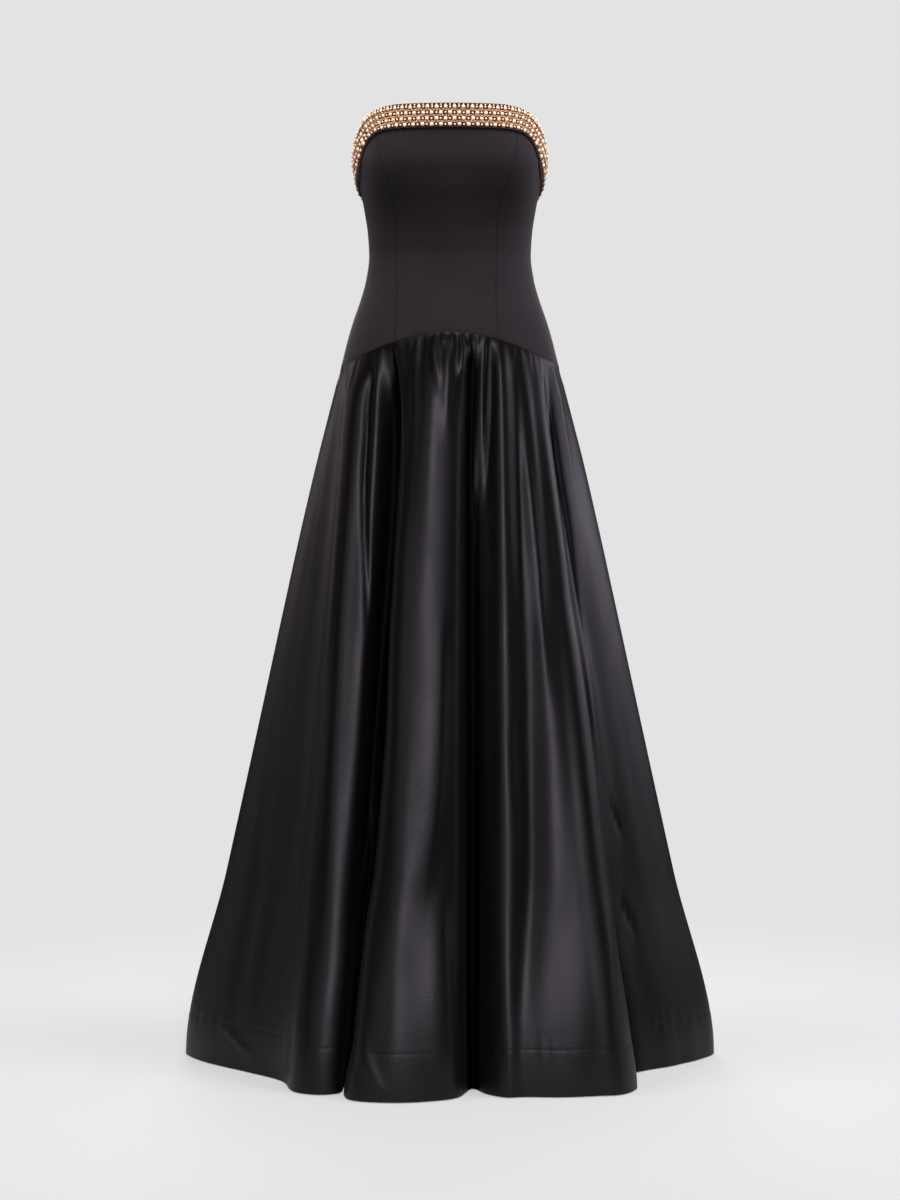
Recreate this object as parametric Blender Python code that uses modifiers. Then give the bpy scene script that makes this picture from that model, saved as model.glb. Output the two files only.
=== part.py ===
"""Drop-waist evening gown in its hollow worn form, with nobody in it.

A strapless princess-line bodice of matte crepe runs down over the waist to an
arched seam on the hips. A full satin skirt is gathered into that seam and
falls in deep folds to a turned-up hem. A band of large beads lies round the
neckline and parts at the centre back for a concealed zip.

Frame: +Z up, the front faces -Y, +X is the right-hand side of the gown seen
from the front. The origin is the middle of the waist, where the wearer holds
the gown. A turn is counted round Z from the centre front towards +X.
"""

import math
from collections import namedtuple

import bmesh
import bpy

MM = 0.001
GOWN = "drop_waist_gown"

# Driving sizes in millimetres
HEM_HEIGHT = -1120.0
HEM_TURN_UP = 60.0
SEAM_GAP = 0.3
WALL_EASE = 0.1
CREPE_WALL = 2.0
SATIN_WALL = 1.5
HEM_WALL = 2.4

# Arch of the drop-waist seam: highest at centre front and back, lowest at the sides
YOKE_FRONT = -107.0
YOKE_SIDE_DROP = 46.0

# Plan section of the bodice at each height
Section = namedtuple("Section", "height half_width front_depth back_depth")
BODY_SECTIONS = [
    Section(height=-170, half_width=156.0, front_depth=110, back_depth=128),
    Section(height=-144, half_width=149.4, front_depth=107, back_depth=123),
    Section(height=-116, half_width=142.4, front_depth=103, back_depth=115),
    Section(height=-88, half_width=134.0, front_depth=99, back_depth=106),
    Section(height=-60, half_width=124.2, front_depth=94, back_depth=95),
    Section(height=-32, half_width=116.6, front_depth=89, back_depth=86),
    Section(height=0, half_width=112.4, front_depth=86, back_depth=80),
    Section(height=30, half_width=114.0, front_depth=90, back_depth=79),
    Section(height=65, half_width=119.2, front_depth=99, back_depth=83),
    Section(height=98, half_width=125.4, front_depth=109, back_depth=87),
    Section(height=135, half_width=130.6, front_depth=116, back_depth=90),
    Section(height=170, half_width=127.5, front_depth=113, back_depth=90),
    Section(height=210, half_width=124.0, front_depth=106, back_depth=90),
]

# Cup of the bodice: how far the cloth stands out over each bust point
CUP_TURN = 39.0
CUP_HEIGHT = 118.0
CUP_OUT = 9.0
CUP_WIDTH = 25.0
CUP_RISE = 52.0

# Neckline and lower edge of the beaded band, by turn from the centre front
NeckPoint = namedtuple("NeckPoint", "turn top band_low")
NECKLINE = [
    NeckPoint(turn=0, top=203.0, band_low=169.0),
    NeckPoint(turn=34, top=202.8, band_low=168.5),
    NeckPoint(turn=46, top=200.5, band_low=166.0),
    NeckPoint(turn=52, top=198.6, band_low=161.5),
    NeckPoint(turn=58, top=195.8, band_low=152.5),
    NeckPoint(turn=63, top=192.2, band_low=137.5),
    NeckPoint(turn=68, top=187.5, band_low=122.5),
    NeckPoint(turn=74, top=178.5, band_low=111.0),
    NeckPoint(turn=79, top=168.5, band_low=105.0),
    NeckPoint(turn=90, top=141.5, band_low=93.5),
    NeckPoint(turn=101, top=123.0, band_low=81.0),
    NeckPoint(turn=115, top=107.0, band_low=69.0),
    NeckPoint(turn=135, top=95.0, band_low=59.5),
    NeckPoint(turn=158, top=90.5, band_low=55.5),
    NeckPoint(turn=180, top=90.0, band_low=55.0),
]

# Princess seams of the front, by height
PrincessPoint = namedtuple("PrincessPoint", "height left_turn right_turn")
PRINCESS_SEAMS = [
    PrincessPoint(height=-150, left_turn=-30.5, right_turn=26.5),
    PrincessPoint(height=-60, left_turn=-36.0, right_turn=30.5),
    PrincessPoint(height=0, left_turn=-41.0, right_turn=34.5),
    PrincessPoint(height=60, left_turn=-39.0, right_turn=33.0),
    PrincessPoint(height=100, left_turn=-40.0, right_turn=36.0),
    PrincessPoint(height=150, left_turn=-47.0, right_turn=42.0),
    PrincessPoint(height=210, left_turn=-53.0, right_turn=48.0),
]

# Beaded band
BAND_GAP = 0.8
BAND_GROUND = 2.6
BEAD_OUT = 2.9
SMALL_BEAD_OUT = 1.1
BEADS_ROUND = 64
BEAD_ROWS = 4
BAND_BELOW_TOP = 1.8
BAND_HALF_OPENING = 5.5

# Skirt folds in order round the hem. seam_turn is where a fold line leaves the
# yoke seam, across and forward are its place at the hem, and seam_rise is how
# far its gather stands out just under the seam
Fold = namedtuple("Fold", "seam_turn across forward seam_rise")
SKIRT_FOLDS = [
    Fold(seam_turn=-90, across=-373, forward=0, seam_rise=0),
    Fold(seam_turn=-84, across=-343, forward=64, seam_rise=0),
    Fold(seam_turn=-78, across=-295, forward=118, seam_rise=0),
    Fold(seam_turn=-71, across=-228, forward=196, seam_rise=-1),
    Fold(seam_turn=-65, across=-206, forward=268, seam_rise=2),
    Fold(seam_turn=-55, across=-172, forward=286, seam_rise=4),
    Fold(seam_turn=-44, across=-148, forward=276, seam_rise=-1),
    Fold(seam_turn=-35, across=-142, forward=236, seam_rise=-8),
    Fold(seam_turn=-29, across=-133, forward=316, seam_rise=-2),
    Fold(seam_turn=-18, across=-88, forward=335, seam_rise=-1),
    Fold(seam_turn=-7, across=-36, forward=330, seam_rise=5),
    Fold(seam_turn=3, across=8, forward=306, seam_rise=3),
    Fold(seam_turn=13, across=30, forward=248, seam_rise=-8),
    Fold(seam_turn=22, across=50, forward=282, seam_rise=-6),
    Fold(seam_turn=28, across=74, forward=303, seam_rise=4),
    Fold(seam_turn=35, across=97, forward=300, seam_rise=-3),
    Fold(seam_turn=42, across=150, forward=301, seam_rise=3),
    Fold(seam_turn=47.5, across=196, forward=286, seam_rise=-3),
    Fold(seam_turn=53, across=229, forward=269, seam_rise=3),
    Fold(seam_turn=58.5, across=249, forward=236, seam_rise=1),
    Fold(seam_turn=62, across=243, forward=158, seam_rise=-4),
    Fold(seam_turn=67, across=266, forward=128, seam_rise=1),
    Fold(seam_turn=78, across=316, forward=86, seam_rise=1),
    Fold(seam_turn=90, across=373, forward=0, seam_rise=0),
    Fold(seam_turn=100, across=345, forward=-66, seam_rise=1),
    Fold(seam_turn=110, across=286, forward=-138, seam_rise=-4),
    Fold(seam_turn=118, across=262, forward=-222, seam_rise=4),
    Fold(seam_turn=127, across=214, forward=-268, seam_rise=3),
    Fold(seam_turn=135, across=172, forward=-246, seam_rise=-5),
    Fold(seam_turn=143, across=142, forward=-306, seam_rise=3),
    Fold(seam_turn=154, across=82, forward=-330, seam_rise=5),
    Fold(seam_turn=163, across=42, forward=-270, seam_rise=-7),
    Fold(seam_turn=171, across=16, forward=-316, seam_rise=2),
    Fold(seam_turn=180, across=-28, forward=-334, seam_rise=4),
    Fold(seam_turn=189, across=-74, forward=-318, seam_rise=2),
    Fold(seam_turn=198, across=-104, forward=-258, seam_rise=-7),
    Fold(seam_turn=207, across=-132, forward=-302, seam_rise=3),
    Fold(seam_turn=218, across=-190, forward=-288, seam_rise=4),
    Fold(seam_turn=228, across=-222, forward=-226, seam_rise=-4),
    Fold(seam_turn=238, across=-262, forward=-204, seam_rise=3),
    Fold(seam_turn=250, across=-318, forward=-132, seam_rise=1),
    Fold(seam_turn=261, across=-356, forward=-62, seam_rise=0),
]

# Small gathers that fade out below the seam. rise is their height and reach
# the share of the skirt's length over which they last
Gather = namedtuple("Gather", "turn half_turn rise reach")
GATHERS = [
    Gather(turn=-63, half_turn=3.0, rise=2.5, reach=0.55),
    Gather(turn=-42, half_turn=2.6, rise=4.0, reach=0.34),
    Gather(turn=-20, half_turn=3.0, rise=2.0, reach=0.20),
    Gather(turn=-1, half_turn=2.6, rise=4.0, reach=0.16),
    Gather(turn=7, half_turn=2.6, rise=4.5, reach=0.13),
    Gather(turn=18.5, half_turn=2.6, rise=6.0, reach=0.26),
    Gather(turn=70, half_turn=3.0, rise=2.0, reach=0.30),
    Gather(turn=101, half_turn=3.2, rise=2.5, reach=0.35),
    Gather(turn=122, half_turn=3.0, rise=4.0, reach=0.25),
    Gather(turn=148, half_turn=2.8, rise=4.0, reach=0.30),
    Gather(turn=167, half_turn=2.6, rise=4.5, reach=0.18),
    Gather(turn=185, half_turn=2.8, rise=4.0, reach=0.24),
    Gather(turn=202, half_turn=2.8, rise=4.5, reach=0.20),
    Gather(turn=223, half_turn=3.0, rise=4.0, reach=0.30),
    Gather(turn=244, half_turn=3.0, rise=2.5, reach=0.30),
]
GATHER_FULL = 0.05
GATHER_AT_SEAM = 0.35
RISE_FADE_START = 0.15
RISE_FADE_END = 0.75

# Rows of the skirt. drop is the share of the way down to the hem, spread the
# share of the way out to it
Row = namedtuple("Row", "drop spread")
SKIRT_ROWS = [
    Row(drop=0.0, spread=0.0),
    Row(drop=0.03, spread=0.034),
    Row(drop=0.07, spread=0.080),
    Row(drop=0.13, spread=0.147),
    Row(drop=0.22, spread=0.241),
    Row(drop=0.35, spread=0.368),
    Row(drop=0.52, spread=0.531),
    Row(drop=0.73, spread=0.735),
]

FRONT_COLUMNS = 94
BACK_COLUMNS = 46
END_STEP = 0.25
PANEL_STEP = 5.6
BODICE_ROWS = 8
BAND_ZONE_ROWS = 6

# Zip slider and pull
SLIDER_WIDTH = 6.4
SLIDER_HEIGHT = 9.5
SLIDER_THICKNESS = 2.4
SLIDER_BELOW_TOP = 9.0
EAR_THICKNESS = 1.0
EAR_HEIGHT = 3.6
EAR_OUT = 3.6
PIN_RADIUS = 0.6
PIN_OUT = 2.3
EYE_RADIUS = 1.7
EYE_HOLE = 0.9
EYE_WIDTH = 3.2
TAB_WIDTH = 5.2
TAB_LENGTH = 19.0
TAB_THICKNESS = 1.1
ROUND_SIDES = 20


def monotone_curve(places, values):
    """A smooth curve through the points that never swings past them."""
    count = len(places)
    steps = [places[i + 1] - places[i] for i in range(count - 1)]
    slopes = [(values[i + 1] - values[i]) / steps[i] for i in range(count - 1)]
    tangents = [0.0] * count
    for i in range(1, count - 1):
        if slopes[i - 1] * slopes[i] > 0:
            before = 2 * steps[i] + steps[i - 1]
            after = steps[i] + 2 * steps[i - 1]
            tangents[i] = (before + after) / (before / slopes[i - 1] + after / slopes[i])

    def value(place):
        place = min(max(place, places[0]), places[-1])
        i = 0
        while i < count - 2 and place > places[i + 1]:
            i += 1
        t = (place - places[i]) / steps[i]
        return (
            values[i] * (1 + 2 * t) * (1 - t) ** 2
            + tangents[i] * steps[i] * t * (1 - t) ** 2
            + values[i + 1] * t * t * (3 - 2 * t)
            + tangents[i + 1] * steps[i] * t * t * (t - 1)
        )

    return value


def column(table, name):
    return [float(getattr(row, name)) for row in table]


def table_curve(table, place, name):
    return monotone_curve(column(table, place), column(table, name))


def smooth_step(value, start, end):
    t = min(max((value - start) / (end - start), 0.0), 1.0)
    return t * t * (3 - 2 * t)


def mix(a, b, share):
    return a + (b - a) * share


half_width_at = table_curve(BODY_SECTIONS, "height", "half_width")
front_depth_at = table_curve(BODY_SECTIONS, "height", "front_depth")
back_depth_at = table_curve(BODY_SECTIONS, "height", "back_depth")
neck_top_at = table_curve(NECKLINE, "turn", "top")
band_low_at = table_curve(NECKLINE, "turn", "band_low")
left_princess_at = table_curve(PRINCESS_SEAMS, "height", "left_turn")
right_princess_at = table_curve(PRINCESS_SEAMS, "height", "right_turn")


def turn_from_front(turn):
    """The turn as 0 at the centre front to 180 at the centre back, on either side."""
    return abs((turn + 180) % 360 - 180)


def body_point(turn, height, out=0.0):
    """A point on the outside of the bodice, moved out by a distance."""
    angle = math.radians(turn)
    away = turn_from_front(turn)
    wide = half_width_at(height)
    deep = front_depth_at(height) if away < 90 else back_depth_at(height)
    cup = math.exp(-(((away - CUP_TURN) / CUP_WIDTH) ** 2) - ((height - CUP_HEIGHT) / CUP_RISE) ** 2)
    grown = out + CUP_OUT * cup
    normal_x = math.sin(angle) / wide
    normal_y = -math.cos(angle) / deep
    length = math.hypot(normal_x, normal_y)
    return (
        wide * math.sin(angle) + grown * normal_x / length,
        -deep * math.cos(angle) + grown * normal_y / length,
        height,
    )


def yoke_height(turn):
    return YOKE_FRONT - YOKE_SIDE_DROP * math.sin(math.radians(turn)) ** 2


def principled(name, colour, roughness, metallic=0.0):
    material = bpy.data.materials.new(name)
    material.use_nodes = True
    shader = material.node_tree.nodes["Principled BSDF"]
    shader.inputs["Base Color"].default_value = (*colour, 1.0)
    shader.inputs["Roughness"].default_value = roughness
    shader.inputs["Metallic"].default_value = metallic
    return material


def add_object(name, bm, material, collection, smooth=True):
    mesh = bpy.data.meshes.new(name)
    bm.to_mesh(mesh)
    bm.free()
    if smooth:
        mesh.shade_smooth()
        mesh.set_sharp_from_angle(angle=math.radians(40))
    mesh.materials.append(material)
    piece = bpy.data.objects.new(name, mesh)
    collection.objects.link(piece)
    return piece


def pulled_in(points):
    """A row of points whose two ends draw back from their seams.

    Two walls that meet at a seam lean towards each other on the inside, so the
    ends draw back by a little more than half the gap.
    """
    row = [list(point) for point in points]
    for end, inner in ((0, 1), (-1, -2)):
        share = (0.5 * SEAM_GAP + WALL_EASE) / math.dist(row[end][:2], row[inner][:2])
        for axis in range(3):
            row[end][axis] = mix(row[end][axis], row[inner][axis], share)
    return row


def add_rows(bm, rows):
    """Vertices for the rows of a loft, in millimetres, given from the bottom up."""
    return [[bm.verts.new([value * MM for value in point]) for point in row] for row in rows]


def fill_between(bm, rows):
    for low, high in zip(rows, rows[1:]):
        for i in range(len(low) - 1):
            bm.faces.new((low[i], low[i + 1], high[i + 1], high[i]))


def add_cloth(name, rows, wall, material, collection, thick_rows=0):
    """A panel lofted through rows of points, with its wall on the inside.

    The lowest thick_rows rows take the whole wall, and the rest a satin wall.
    """
    bm = bmesh.new()
    vertices = add_rows(bm, rows)
    fill_between(bm, vertices)
    panel = add_object(name, bm, material, collection)
    solidify = panel.modifiers.new("wall", "SOLIDIFY")
    solidify.thickness = wall * MM
    solidify.offset = -1.0
    solidify.use_rim = True
    if thick_rows:
        group = panel.vertex_groups.new(name="turned_up")
        across = len(rows[0])
        thick = thick_rows * across
        group.add(list(range(thick)), 1.0, "REPLACE")
        group.add(list(range(thick, across * len(rows))), SATIN_WALL / wall, "REPLACE")
        solidify.vertex_group = group.name
    return panel


def bodice_rows(first_turn, last_turn):
    """Rows of a bodice panel between two seams, from the yoke seam up to the neckline.

    first_turn and last_turn give a seam's turn at a height.
    """
    widest = last_turn(0.0) - first_turn(0.0)
    columns = max(6, round(widest / PANEL_STEP))
    rows = []
    for level in range(BODICE_ROWS + BAND_ZONE_ROWS + 1):
        row = []
        for i in range(columns + 1):
            height = 0.0
            for _ in range(6):
                turn = mix(first_turn(height), last_turn(height), i / columns)
                low = yoke_height(turn) + 0.5 * SEAM_GAP + 2 * WALL_EASE
                split = band_low_at(turn_from_front(turn))
                top = neck_top_at(turn_from_front(turn))
                if level <= BODICE_ROWS:
                    height = mix(low, split, level / BODICE_ROWS)
                else:
                    height = mix(split, top, (level - BODICE_ROWS) / BAND_ZONE_ROWS)
            row.append(body_point(turn, height))
        rows.append(pulled_in(row))
    return rows


def build_bodice(collection):
    crepe = principled("crepe", (0.019, 0.017, 0.019), 0.85)
    seams = [
        ("bodice_back_left", lambda height: -180.0, lambda height: -90.0),
        ("bodice_side_front_left", lambda height: -90.0, left_princess_at),
        ("bodice_centre_front", left_princess_at, right_princess_at),
        ("bodice_side_front_right", right_princess_at, lambda height: 90.0),
        ("bodice_back_right", lambda height: 90.0, lambda height: 180.0),
    ]
    for name, first_turn, last_turn in seams:
        add_cloth(name, bodice_rows(first_turn, last_turn), CREPE_WALL, crepe, collection)


def band_height(turn, share):
    """Height on the beaded band, from 0 at its lower edge to 1 at its upper."""
    away = turn_from_front(turn)
    return mix(band_low_at(away), neck_top_at(away) - BAND_BELOW_TOP, share)


def build_band(collection):
    """The beaded band: large beads raised on the outside, plain inside."""
    opening = math.degrees(BAND_HALF_OPENING / back_depth_at(75.0))
    columns = 2 * BEADS_ROUND
    levels = 2 * BEAD_ROWS
    turns = [mix(-180 + opening, 180 - opening, i / columns) for i in range(columns + 1)]
    outer = []
    for level in range(levels + 1):
        row = []
        for i, turn in enumerate(turns):
            raised = 0.0
            if level % 2 == 1:
                on_bead = (i + level // 2) % 2 == 0
                raised = BEAD_OUT if on_bead else SMALL_BEAD_OUT
            if i in (0, columns):
                raised = 0.0
            row.append(body_point(turn, band_height(turn, level / levels), BAND_GAP + BAND_GROUND + raised))
        outer.append(row)
    inner = []
    for level in range(BAND_ZONE_ROWS + 1):
        share = level / BAND_ZONE_ROWS
        inner.append([body_point(turn, band_height(turn, share), BAND_GAP) for turn in turns])
    bm = bmesh.new()
    outside = add_rows(bm, outer)
    inside = add_rows(bm, inner)
    fill_between(bm, outside)
    fill_between(bm, inside[::-1])
    fill_between(bm, [inside[0], outside[0]])
    fill_between(bm, [outside[-1], inside[-1]])
    bm.faces.new([row[0] for row in outside] + [row[0] for row in reversed(inside)])
    bm.faces.new([row[-1] for row in reversed(outside)] + [row[-1] for row in inside])
    beads = principled("champagne_beads", (0.62, 0.40, 0.26), 0.28, 0.6)
    add_object("beaded_band", bm, beads, collection, smooth=False)


def fold_curve():
    """The hem as a closed curve through the fold lines.

    Gives a function from a place along it, 0 to 1 for each fold in turn, to
    the seam turn, the place at the hem and the rise of the gather.
    """
    count = len(SKIRT_FOLDS)
    spans = []
    for i in range(count):
        here = SKIRT_FOLDS[i]
        after = SKIRT_FOLDS[(i + 1) % count]
        spans.append(math.dist((here.across, here.forward), (after.across, after.forward)) ** 0.5)

    def tangent(values, i):
        """Slope of the curve at a fold line, from its neighbours on both sides."""
        before, after = spans[i - 1], spans[i % count]
        back = (values(i) - values(i - 1)) / before
        front = (values(i + 1) - values(i)) / after
        return (back * after + front * before) / (before + after)

    def through(values, i, t):
        i %= count
        span = spans[i]
        return (
            values(i) * (1 + 2 * t) * (1 - t) ** 2
            + tangent(values, i) * span * t * (1 - t) ** 2
            + values(i + 1) * t * t * (3 - 2 * t)
            + tangent(values, (i + 1) % count) * span * t * t * (t - 1)
        )

    once_round = column(SKIRT_FOLDS, "seam_turn")
    turns = [once_round[-1] - 360.0] + once_round + [turn + 360.0 for turn in once_round[:2]]
    turn_at = monotone_curve([float(i) for i in range(-1, count + 2)], turns)

    def place(along):
        i = int(math.floor(along))
        t = along - i
        return (
            turn_at(along % count),
            through(lambda k: SKIRT_FOLDS[k % count].across, i, t),
            through(lambda k: SKIRT_FOLDS[k % count].forward, i, t),
            through(lambda k: SKIRT_FOLDS[k % count].seam_rise, i, t),
        )

    return place


def evenly_spaced(place, first, last, columns):
    """Places along the hem from one fold line to another, at equal steps of length.

    One more column lies close to each end, so that two panels meet square.
    """
    fine = 40 * (last - first)
    alongs = [mix(first, last, i / fine) for i in range(fine + 1)]
    points = [place(along)[1:3] for along in alongs]
    lengths = [0.0]
    for a, b in zip(points, points[1:]):
        lengths.append(lengths[-1] + math.dist(a, b))
    along_at = monotone_curve(lengths, alongs)
    steps = [0.0, END_STEP, *range(1, columns), columns - END_STEP, columns]
    return [along_at(lengths[-1] * step / columns) for step in steps]


def gather_rise(turn, drop):
    total = 0.0
    for gather in GATHERS:
        away = (turn - gather.turn + 180) % 360 - 180
        lasting = 1 - smooth_step(drop, 0.3 * gather.reach, gather.reach)
        total += gather.rise * math.exp(-((away / gather.half_turn) ** 2)) * lasting
    return total


def skirt_point(seam_turn, across, forward, seam_rise, row):
    """A point of the skirt's outside, on the straight line from seam to hem."""
    top = yoke_height(seam_turn) - 0.5 * SEAM_GAP
    seam_x, seam_y, _ = body_point(seam_turn, top)
    opening = mix(GATHER_AT_SEAM, 1.0, smooth_step(row.drop, 0.0, GATHER_FULL))
    fading = 1 - smooth_step(row.drop, RISE_FADE_START, RISE_FADE_END)
    out = opening * (seam_rise * fading + gather_rise(seam_turn, row.drop))
    if row.drop == 0.0:
        out = 0.0
    reach = math.hypot(seam_x, seam_y)
    return (
        mix(seam_x, across, row.spread) + out * seam_x / reach,
        mix(seam_y, -forward, row.spread) + out * seam_y / reach,
        mix(top, HEM_HEIGHT, row.drop),
    )


def skirt_rows(place, first_turn, last_turn, columns):
    """Rows of a skirt panel between two fold lines, from the hem up to the yoke seam."""
    turns = column(SKIRT_FOLDS, "seam_turn") + [SKIRT_FOLDS[0].seam_turn + 360.0]
    alongs = evenly_spaced(place, turns.index(first_turn), turns.index(last_turn), columns)
    length = yoke_height(90.0) - HEM_HEIGHT
    stitched = 1 - HEM_TURN_UP / length
    above_stitches = stitched - 2 * SATIN_WALL / length
    levels = SKIRT_ROWS + [Row(above_stitches, above_stitches), Row(stitched, stitched), Row(1.0, 1.0)]
    rows = []
    for row in reversed(levels):
        rows.append(pulled_in([skirt_point(*place(along), row) for along in alongs]))
    return rows


def build_skirt(collection):
    satin = principled("satin", (0.012, 0.011, 0.012), 0.34)
    place = fold_curve()
    panels = [
        ("skirt_front", -90.0, 90.0, FRONT_COLUMNS),
        ("skirt_back_right", 90.0, 180.0, BACK_COLUMNS),
        ("skirt_back_left", 180.0, 270.0, BACK_COLUMNS),
    ]
    for name, first_turn, last_turn, columns in panels:
        rows = skirt_rows(place, first_turn, last_turn, columns)
        add_cloth(name, rows, HEM_WALL, satin, collection, thick_rows=2)


def add_box(bm, low, high):
    made = bmesh.ops.create_cube(bm, size=1.0)["verts"]
    for vertex in made:
        for axis in range(3):
            vertex.co[axis] = mix(low[axis], high[axis], vertex.co[axis] + 0.5) * MM


def add_rod(bm, radius, half_length, centre):
    """A rod along X."""
    made = bmesh.ops.create_cone(
        bm, cap_ends=True, segments=ROUND_SIDES, radius1=radius * MM, radius2=radius * MM, depth=2 * half_length * MM
    )["verts"]
    for vertex in made:
        x, y, z = vertex.co
        vertex.co = (z + centre[0] * MM, y + centre[1] * MM, -x + centre[2] * MM)


def joined(base, tools, operation, cutters):
    """The base object with each tool united with it or cut from it."""
    for tool in tools:
        for owner in tool.users_collection:
            owner.objects.unlink(tool)
        cutters.objects.link(tool)
        tool.hide_render = True
        tool.display_type = "WIRE"
        boolean = base.modifiers.new(tool.name, "BOOLEAN")
        boolean.operation = operation
        boolean.solver = "EXACT"
        boolean.object = tool
    return base


def build_zip(collection, cutters):
    """Slider at the top of the concealed zip, and its pull tab on a pin."""
    metal = principled("zip_metal", (0.045, 0.042, 0.045), 0.35, 0.9)
    centre = neck_top_at(180.0) - SLIDER_BELOW_TOP
    cloth = max(body_point(180.0, centre + offset)[1] for offset in (-0.5 * SLIDER_HEIGHT, 0.5 * SLIDER_HEIGHT))
    back = cloth + SEAM_GAP
    face = back + SLIDER_THICKNESS
    pin_centre = (0.0, face + PIN_OUT, centre + 0.5 * SLIDER_HEIGHT - 0.5 * EAR_HEIGHT)

    bm = bmesh.new()
    half = 0.5 * SLIDER_WIDTH
    add_box(bm, (-half, back, centre - 0.5 * SLIDER_HEIGHT), (half, face, centre + 0.5 * SLIDER_HEIGHT))
    slider = add_object("zip_slider", bm, metal, collection, smooth=False)
    tools = []
    for side, name in ((-1, "ear_left"), (1, "ear_right")):
        bm = bmesh.new()
        inner = side * (half - EAR_THICKNESS)
        outer = side * half
        add_box(
            bm,
            (min(inner, outer), face - 0.5, pin_centre[2] - 0.5 * EAR_HEIGHT),
            (max(inner, outer), face + EAR_OUT, pin_centre[2] + 0.5 * EAR_HEIGHT),
        )
        tools.append(add_object(name, bm, metal, collection, smooth=False))
    bm = bmesh.new()
    add_rod(bm, PIN_RADIUS, half - 0.5 * EAR_THICKNESS, pin_centre)
    tools.append(add_object("pin", bm, metal, collection, smooth=False))
    joined(slider, tools, "UNION", cutters)

    bm = bmesh.new()
    add_rod(bm, EYE_RADIUS, 0.5 * EYE_WIDTH, (0.0, 0.0, 0.0))
    pull = add_object("zip_pull", bm, metal, collection, smooth=False)
    pull.location = [value * MM for value in pin_centre]
    bm = bmesh.new()
    waist = 0.5 * EYE_WIDTH
    flare = 0.5 * TAB_WIDTH
    outline = [
        (-waist, -EYE_HOLE - 0.3), (-waist, -4.0), (-flare, -0.6 * TAB_LENGTH), (-0.8 * flare, -0.9 * TAB_LENGTH),
        (-0.35 * flare, -TAB_LENGTH), (0.35 * flare, -TAB_LENGTH), (0.8 * flare, -0.9 * TAB_LENGTH),
        (flare, -0.6 * TAB_LENGTH), (waist, -4.0), (waist, -EYE_HOLE - 0.3),
    ]
    front = [bm.verts.new((x * MM, -0.5 * TAB_THICKNESS * MM, z * MM)) for x, z in outline]
    face_made = bm.faces.new(front)
    pushed = bmesh.ops.extrude_face_region(bm, geom=[face_made])
    for item in pushed["geom"]:
        if isinstance(item, bmesh.types.BMVert):
            item.co.y += TAB_THICKNESS * MM
    bmesh.ops.recalc_face_normals(bm, faces=bm.faces)
    tab = add_object("tab", bm, metal, collection, smooth=False)
    tab.location = pull.location
    joined(pull, [tab], "UNION", cutters)
    bm = bmesh.new()
    add_rod(bm, EYE_HOLE, EYE_WIDTH, (0.0, 0.0, 0.0))
    hole = add_object("eye_hole", bm, metal, collection, smooth=False)
    hole.location = pull.location
    joined(pull, [hole], "DIFFERENCE", cutters)


def main():
    for old in list(bpy.data.objects):
        bpy.data.objects.remove(old, do_unlink=True)
    gown = bpy.data.collections.new(GOWN)
    cutters = bpy.data.collections.new("cutters")
    for made in (gown, cutters):
        bpy.context.scene.collection.children.link(made)
    build_bodice(gown)
    build_band(gown)
    build_skirt(gown)
    build_zip(gown, cutters)


main()
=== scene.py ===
"""Looks of the drop-waist gown: every cloth panel, bead and finish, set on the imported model."""

import math
import random
from collections import namedtuple

import bmesh
import bpy
import numpy as np
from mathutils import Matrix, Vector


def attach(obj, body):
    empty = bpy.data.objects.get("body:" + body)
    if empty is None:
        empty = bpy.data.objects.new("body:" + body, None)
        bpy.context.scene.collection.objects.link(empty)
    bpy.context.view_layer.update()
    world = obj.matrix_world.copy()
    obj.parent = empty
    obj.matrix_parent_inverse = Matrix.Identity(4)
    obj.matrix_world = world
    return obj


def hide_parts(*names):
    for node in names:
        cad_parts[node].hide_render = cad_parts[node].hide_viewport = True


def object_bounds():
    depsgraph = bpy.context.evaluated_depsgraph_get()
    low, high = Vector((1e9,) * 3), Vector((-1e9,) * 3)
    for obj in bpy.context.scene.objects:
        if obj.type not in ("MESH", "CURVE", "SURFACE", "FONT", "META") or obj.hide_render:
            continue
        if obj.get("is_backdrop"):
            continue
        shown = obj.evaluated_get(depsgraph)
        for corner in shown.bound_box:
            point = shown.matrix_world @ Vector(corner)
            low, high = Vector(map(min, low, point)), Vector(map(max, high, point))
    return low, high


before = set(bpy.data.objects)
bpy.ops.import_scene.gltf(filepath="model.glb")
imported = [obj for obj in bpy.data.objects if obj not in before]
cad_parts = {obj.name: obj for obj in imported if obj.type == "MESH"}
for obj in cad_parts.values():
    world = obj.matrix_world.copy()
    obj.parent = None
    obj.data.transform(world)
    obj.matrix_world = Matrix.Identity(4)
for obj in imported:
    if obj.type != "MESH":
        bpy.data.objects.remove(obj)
cad_low, cad_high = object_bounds()

# Camera. It stands four and a half metres in front of the gown, a little under
# the drop-waist seam, and looks slightly down, so the hem shows its curve.
CAMERA_AWAY = 4.5
CAMERA_HEIGHT = -0.230
CAMERA_DIP = 3.17
SENSOR_WIDTH = 36.0
LENS_LENGTH = 96.4


def add_object(name, data):
    """A new object in the scene."""
    item = bpy.data.objects.new(name, data)
    bpy.context.scene.collection.objects.link(item)
    return item


camera_data = bpy.data.cameras.new("camera")
camera_data.sensor_width = SENSOR_WIDTH
camera_data.lens = LENS_LENGTH
camera_data.dof.use_dof = False
camera = add_object("camera", camera_data)
camera.location = (0.0, -CAMERA_AWAY, CAMERA_HEIGHT)
camera.rotation_euler = (math.radians(90.0 - CAMERA_DIP), 0.0, 0.0)
bpy.context.scene.camera = camera

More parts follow.
